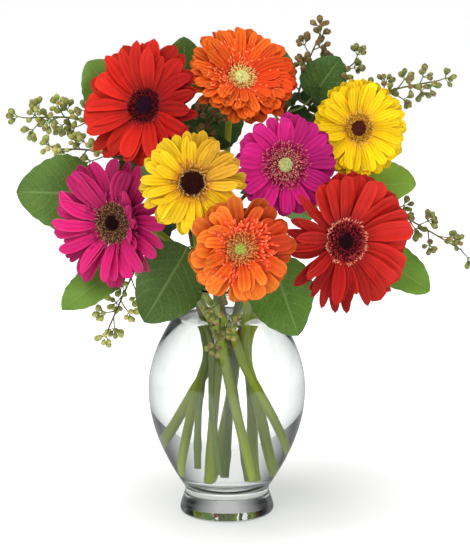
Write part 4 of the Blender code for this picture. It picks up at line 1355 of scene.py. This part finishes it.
def mirrored_share(tree):
    """One for a ray that was mirrored near the front, else nought: its bounces less its passes through
    glass, only if the last of them did not scatter it and if it has fewer than five in all, which leaves
    out what the far wall mirrors."""
    ray = add_node(tree, "ShaderNodeLightPath").outputs
    bounced = sums(tree, "SUBTRACT", ray["Ray Depth"], ray["Transmission Depth"], clamp=True)
    few = sums(tree, "LESS_THAN", ray["Ray Depth"], FEWEST_FAR_BOUNCES)
    return sums(tree, "MULTIPLY", bounced, sums(tree, "MULTIPLY", few, ray["Is Glossy Ray"]))


def kept_share(tree, loss):
    """One less the loss for a mirrored ray, one for any other."""
    return sums(tree, "SUBTRACT", 1.0, sums(tree, "MULTIPLY", mirrored_share(tree), loss))


# %% Floor
FLOOR_PALE, FLOOR_MIRRORED = (0.93, 0.93, 0.93), (0.45, 0.45, 0.45)
FLOOR_REACH, FLOOR_HEIGHT = 40.0, -0.0004


def make_floor():
    """A wide pale disc just under the vase. It glows a little away from the foot, which keeps only the
    shadow beside the foot, and what the glass mirrors of it is darker."""
    turn = full_turn(64)
    rim = np.stack([FLOOR_REACH * np.cos(turn), FLOOR_REACH * np.sin(turn), 0 * turn + FLOOR_HEIGHT], axis=1)
    mesh = bpy.data.meshes.new("floor")
    mesh.from_pydata(rim.tolist(), [], [tuple(range(len(turn)))])
    floor = bpy.data.objects.new("floor", mesh)
    bpy.context.scene.collection.objects.link(floor)
    material = bpy.data.materials.new("pale_floor")
    material.use_nodes = True
    shader = material.node_tree.nodes["Principled BSDF"]
    shader.inputs["Roughness"].default_value = 0.6
    shader.inputs["Specular IOR Level"].default_value = 0.15
    shader.inputs["Emission Color"].default_value = (1.0, 1.0, 1.0, 1.0)
    tree = material.node_tree
    spot = add_node(tree, "ShaderNodeTexCoord").outputs["Object"]
    away = add_node(tree, "ShaderNodeVectorMath", {0: spot}, operation="LENGTH").outputs["Value"]
    glow = ramp(tree, away, 0.09, 0.32, 0.07, 0.48)
    tree.links.new(sums(tree, "MULTIPLY", glow, kept_share(tree, 0.7)), shader.inputs["Emission Strength"])
    pale = mixed(tree, mirrored_share(tree), FLOOR_PALE, FLOOR_MIRRORED)
    tree.links.new(pale, shader.inputs["Base Color"])
    mesh.materials.append(material)


make_floor()

# %% Light
def add_lamp(name, place, target, size, power):
    """A soft lamp that faces the target and doesn't show its own shape in the glass."""
    lamp = bpy.data.lights.new(name, "AREA")
    lamp.shape = "RECTANGLE"
    lamp.size, lamp.size_y = size
    lamp.energy = power
    holder = bpy.data.objects.new(name, lamp)
    holder.location = place
    holder.rotation_euler = (Vector(target) - Vector(place)).to_track_quat("-Z", "Y").to_euler()
    holder.visible_glossy = holder.visible_transmission = False
    bpy.context.scene.collection.objects.link(holder)


def make_sky():
    """White all round, dimmer towards plus and minus X. What shows through the glass is brighter in the
    middle and darker at the sides than what lights the petals, as with cards beside a set, and what is
    mirrored is dimmer still."""
    world = bpy.data.worlds.new("studio")
    bpy.context.scene.world = world
    world.use_nodes = True
    tree = world.node_tree
    direction = add_node(tree, "ShaderNodeTexCoord").outputs["Generated"]
    sideways = add_node(tree, "ShaderNodeSeparateXYZ", {0: direction}).outputs[0]
    share = sums(tree, "ABSOLUTE", sideways, 0.0)
    scattered = ramp(tree, share, 0.50, 0.92, 0.66, 0.15)
    seen = sums(tree, "MULTIPLY", ramp(tree, share, 0.16, 0.66, 1.0, 0.04), kept_share(tree, 0.5))
    ray = add_node(tree, "ShaderNodeLightPath").outputs["Is Diffuse Ray"]
    dim = add_node(tree, "ShaderNodeMix", {0: ray, 2: seen, 3: scattered}, data_type="FLOAT").outputs[0]
    tree.nodes["Background"].inputs["Color"].default_value = (1.0, 1.0, 1.0, 1.0)
    tree.links.new(dim, tree.nodes["Background"].inputs["Strength"])


make_sky()
add_lamp("key", (-0.9, -1.5, 1.6), (0, 0, 0.25), (1.7, 1.7), 22)
add_lamp("top", (-0.5, -0.25, 1.7), (0, 0, 0.1), (0.7, 0.7), 9)
add_lamp("window", (0.75, -1.2, 0.75), (0, 0, 0.2), (0.25, 0.7), 5)
add_lamp("back", (0.2, 1.6, 1.4), (0, 0, 0.2), (1.6, 1.0), 6)

# %% Camera
CAMERA_ASIDE, CAMERA_DISTANCE, CAMERA_HEIGHT, CAMERA_PITCH = 0.007, 1.6, 0.5, 10.28
camera_data = bpy.data.cameras.new("camera")
camera_data.sensor_fit = "VERTICAL"
camera_data.sensor_height = 36.0
camera_data.lens = 126.2
camera = bpy.data.objects.new("camera", camera_data)
camera.location = (CAMERA_ASIDE, -CAMERA_DISTANCE, CAMERA_HEIGHT)
camera.rotation_euler = (math.radians(90 - CAMERA_PITCH), 0.0, 0.0)
bpy.context.scene.collection.objects.link(camera)
bpy.context.scene.camera = camera
bpy.context.scene.view_settings.view_transform = "Standard"
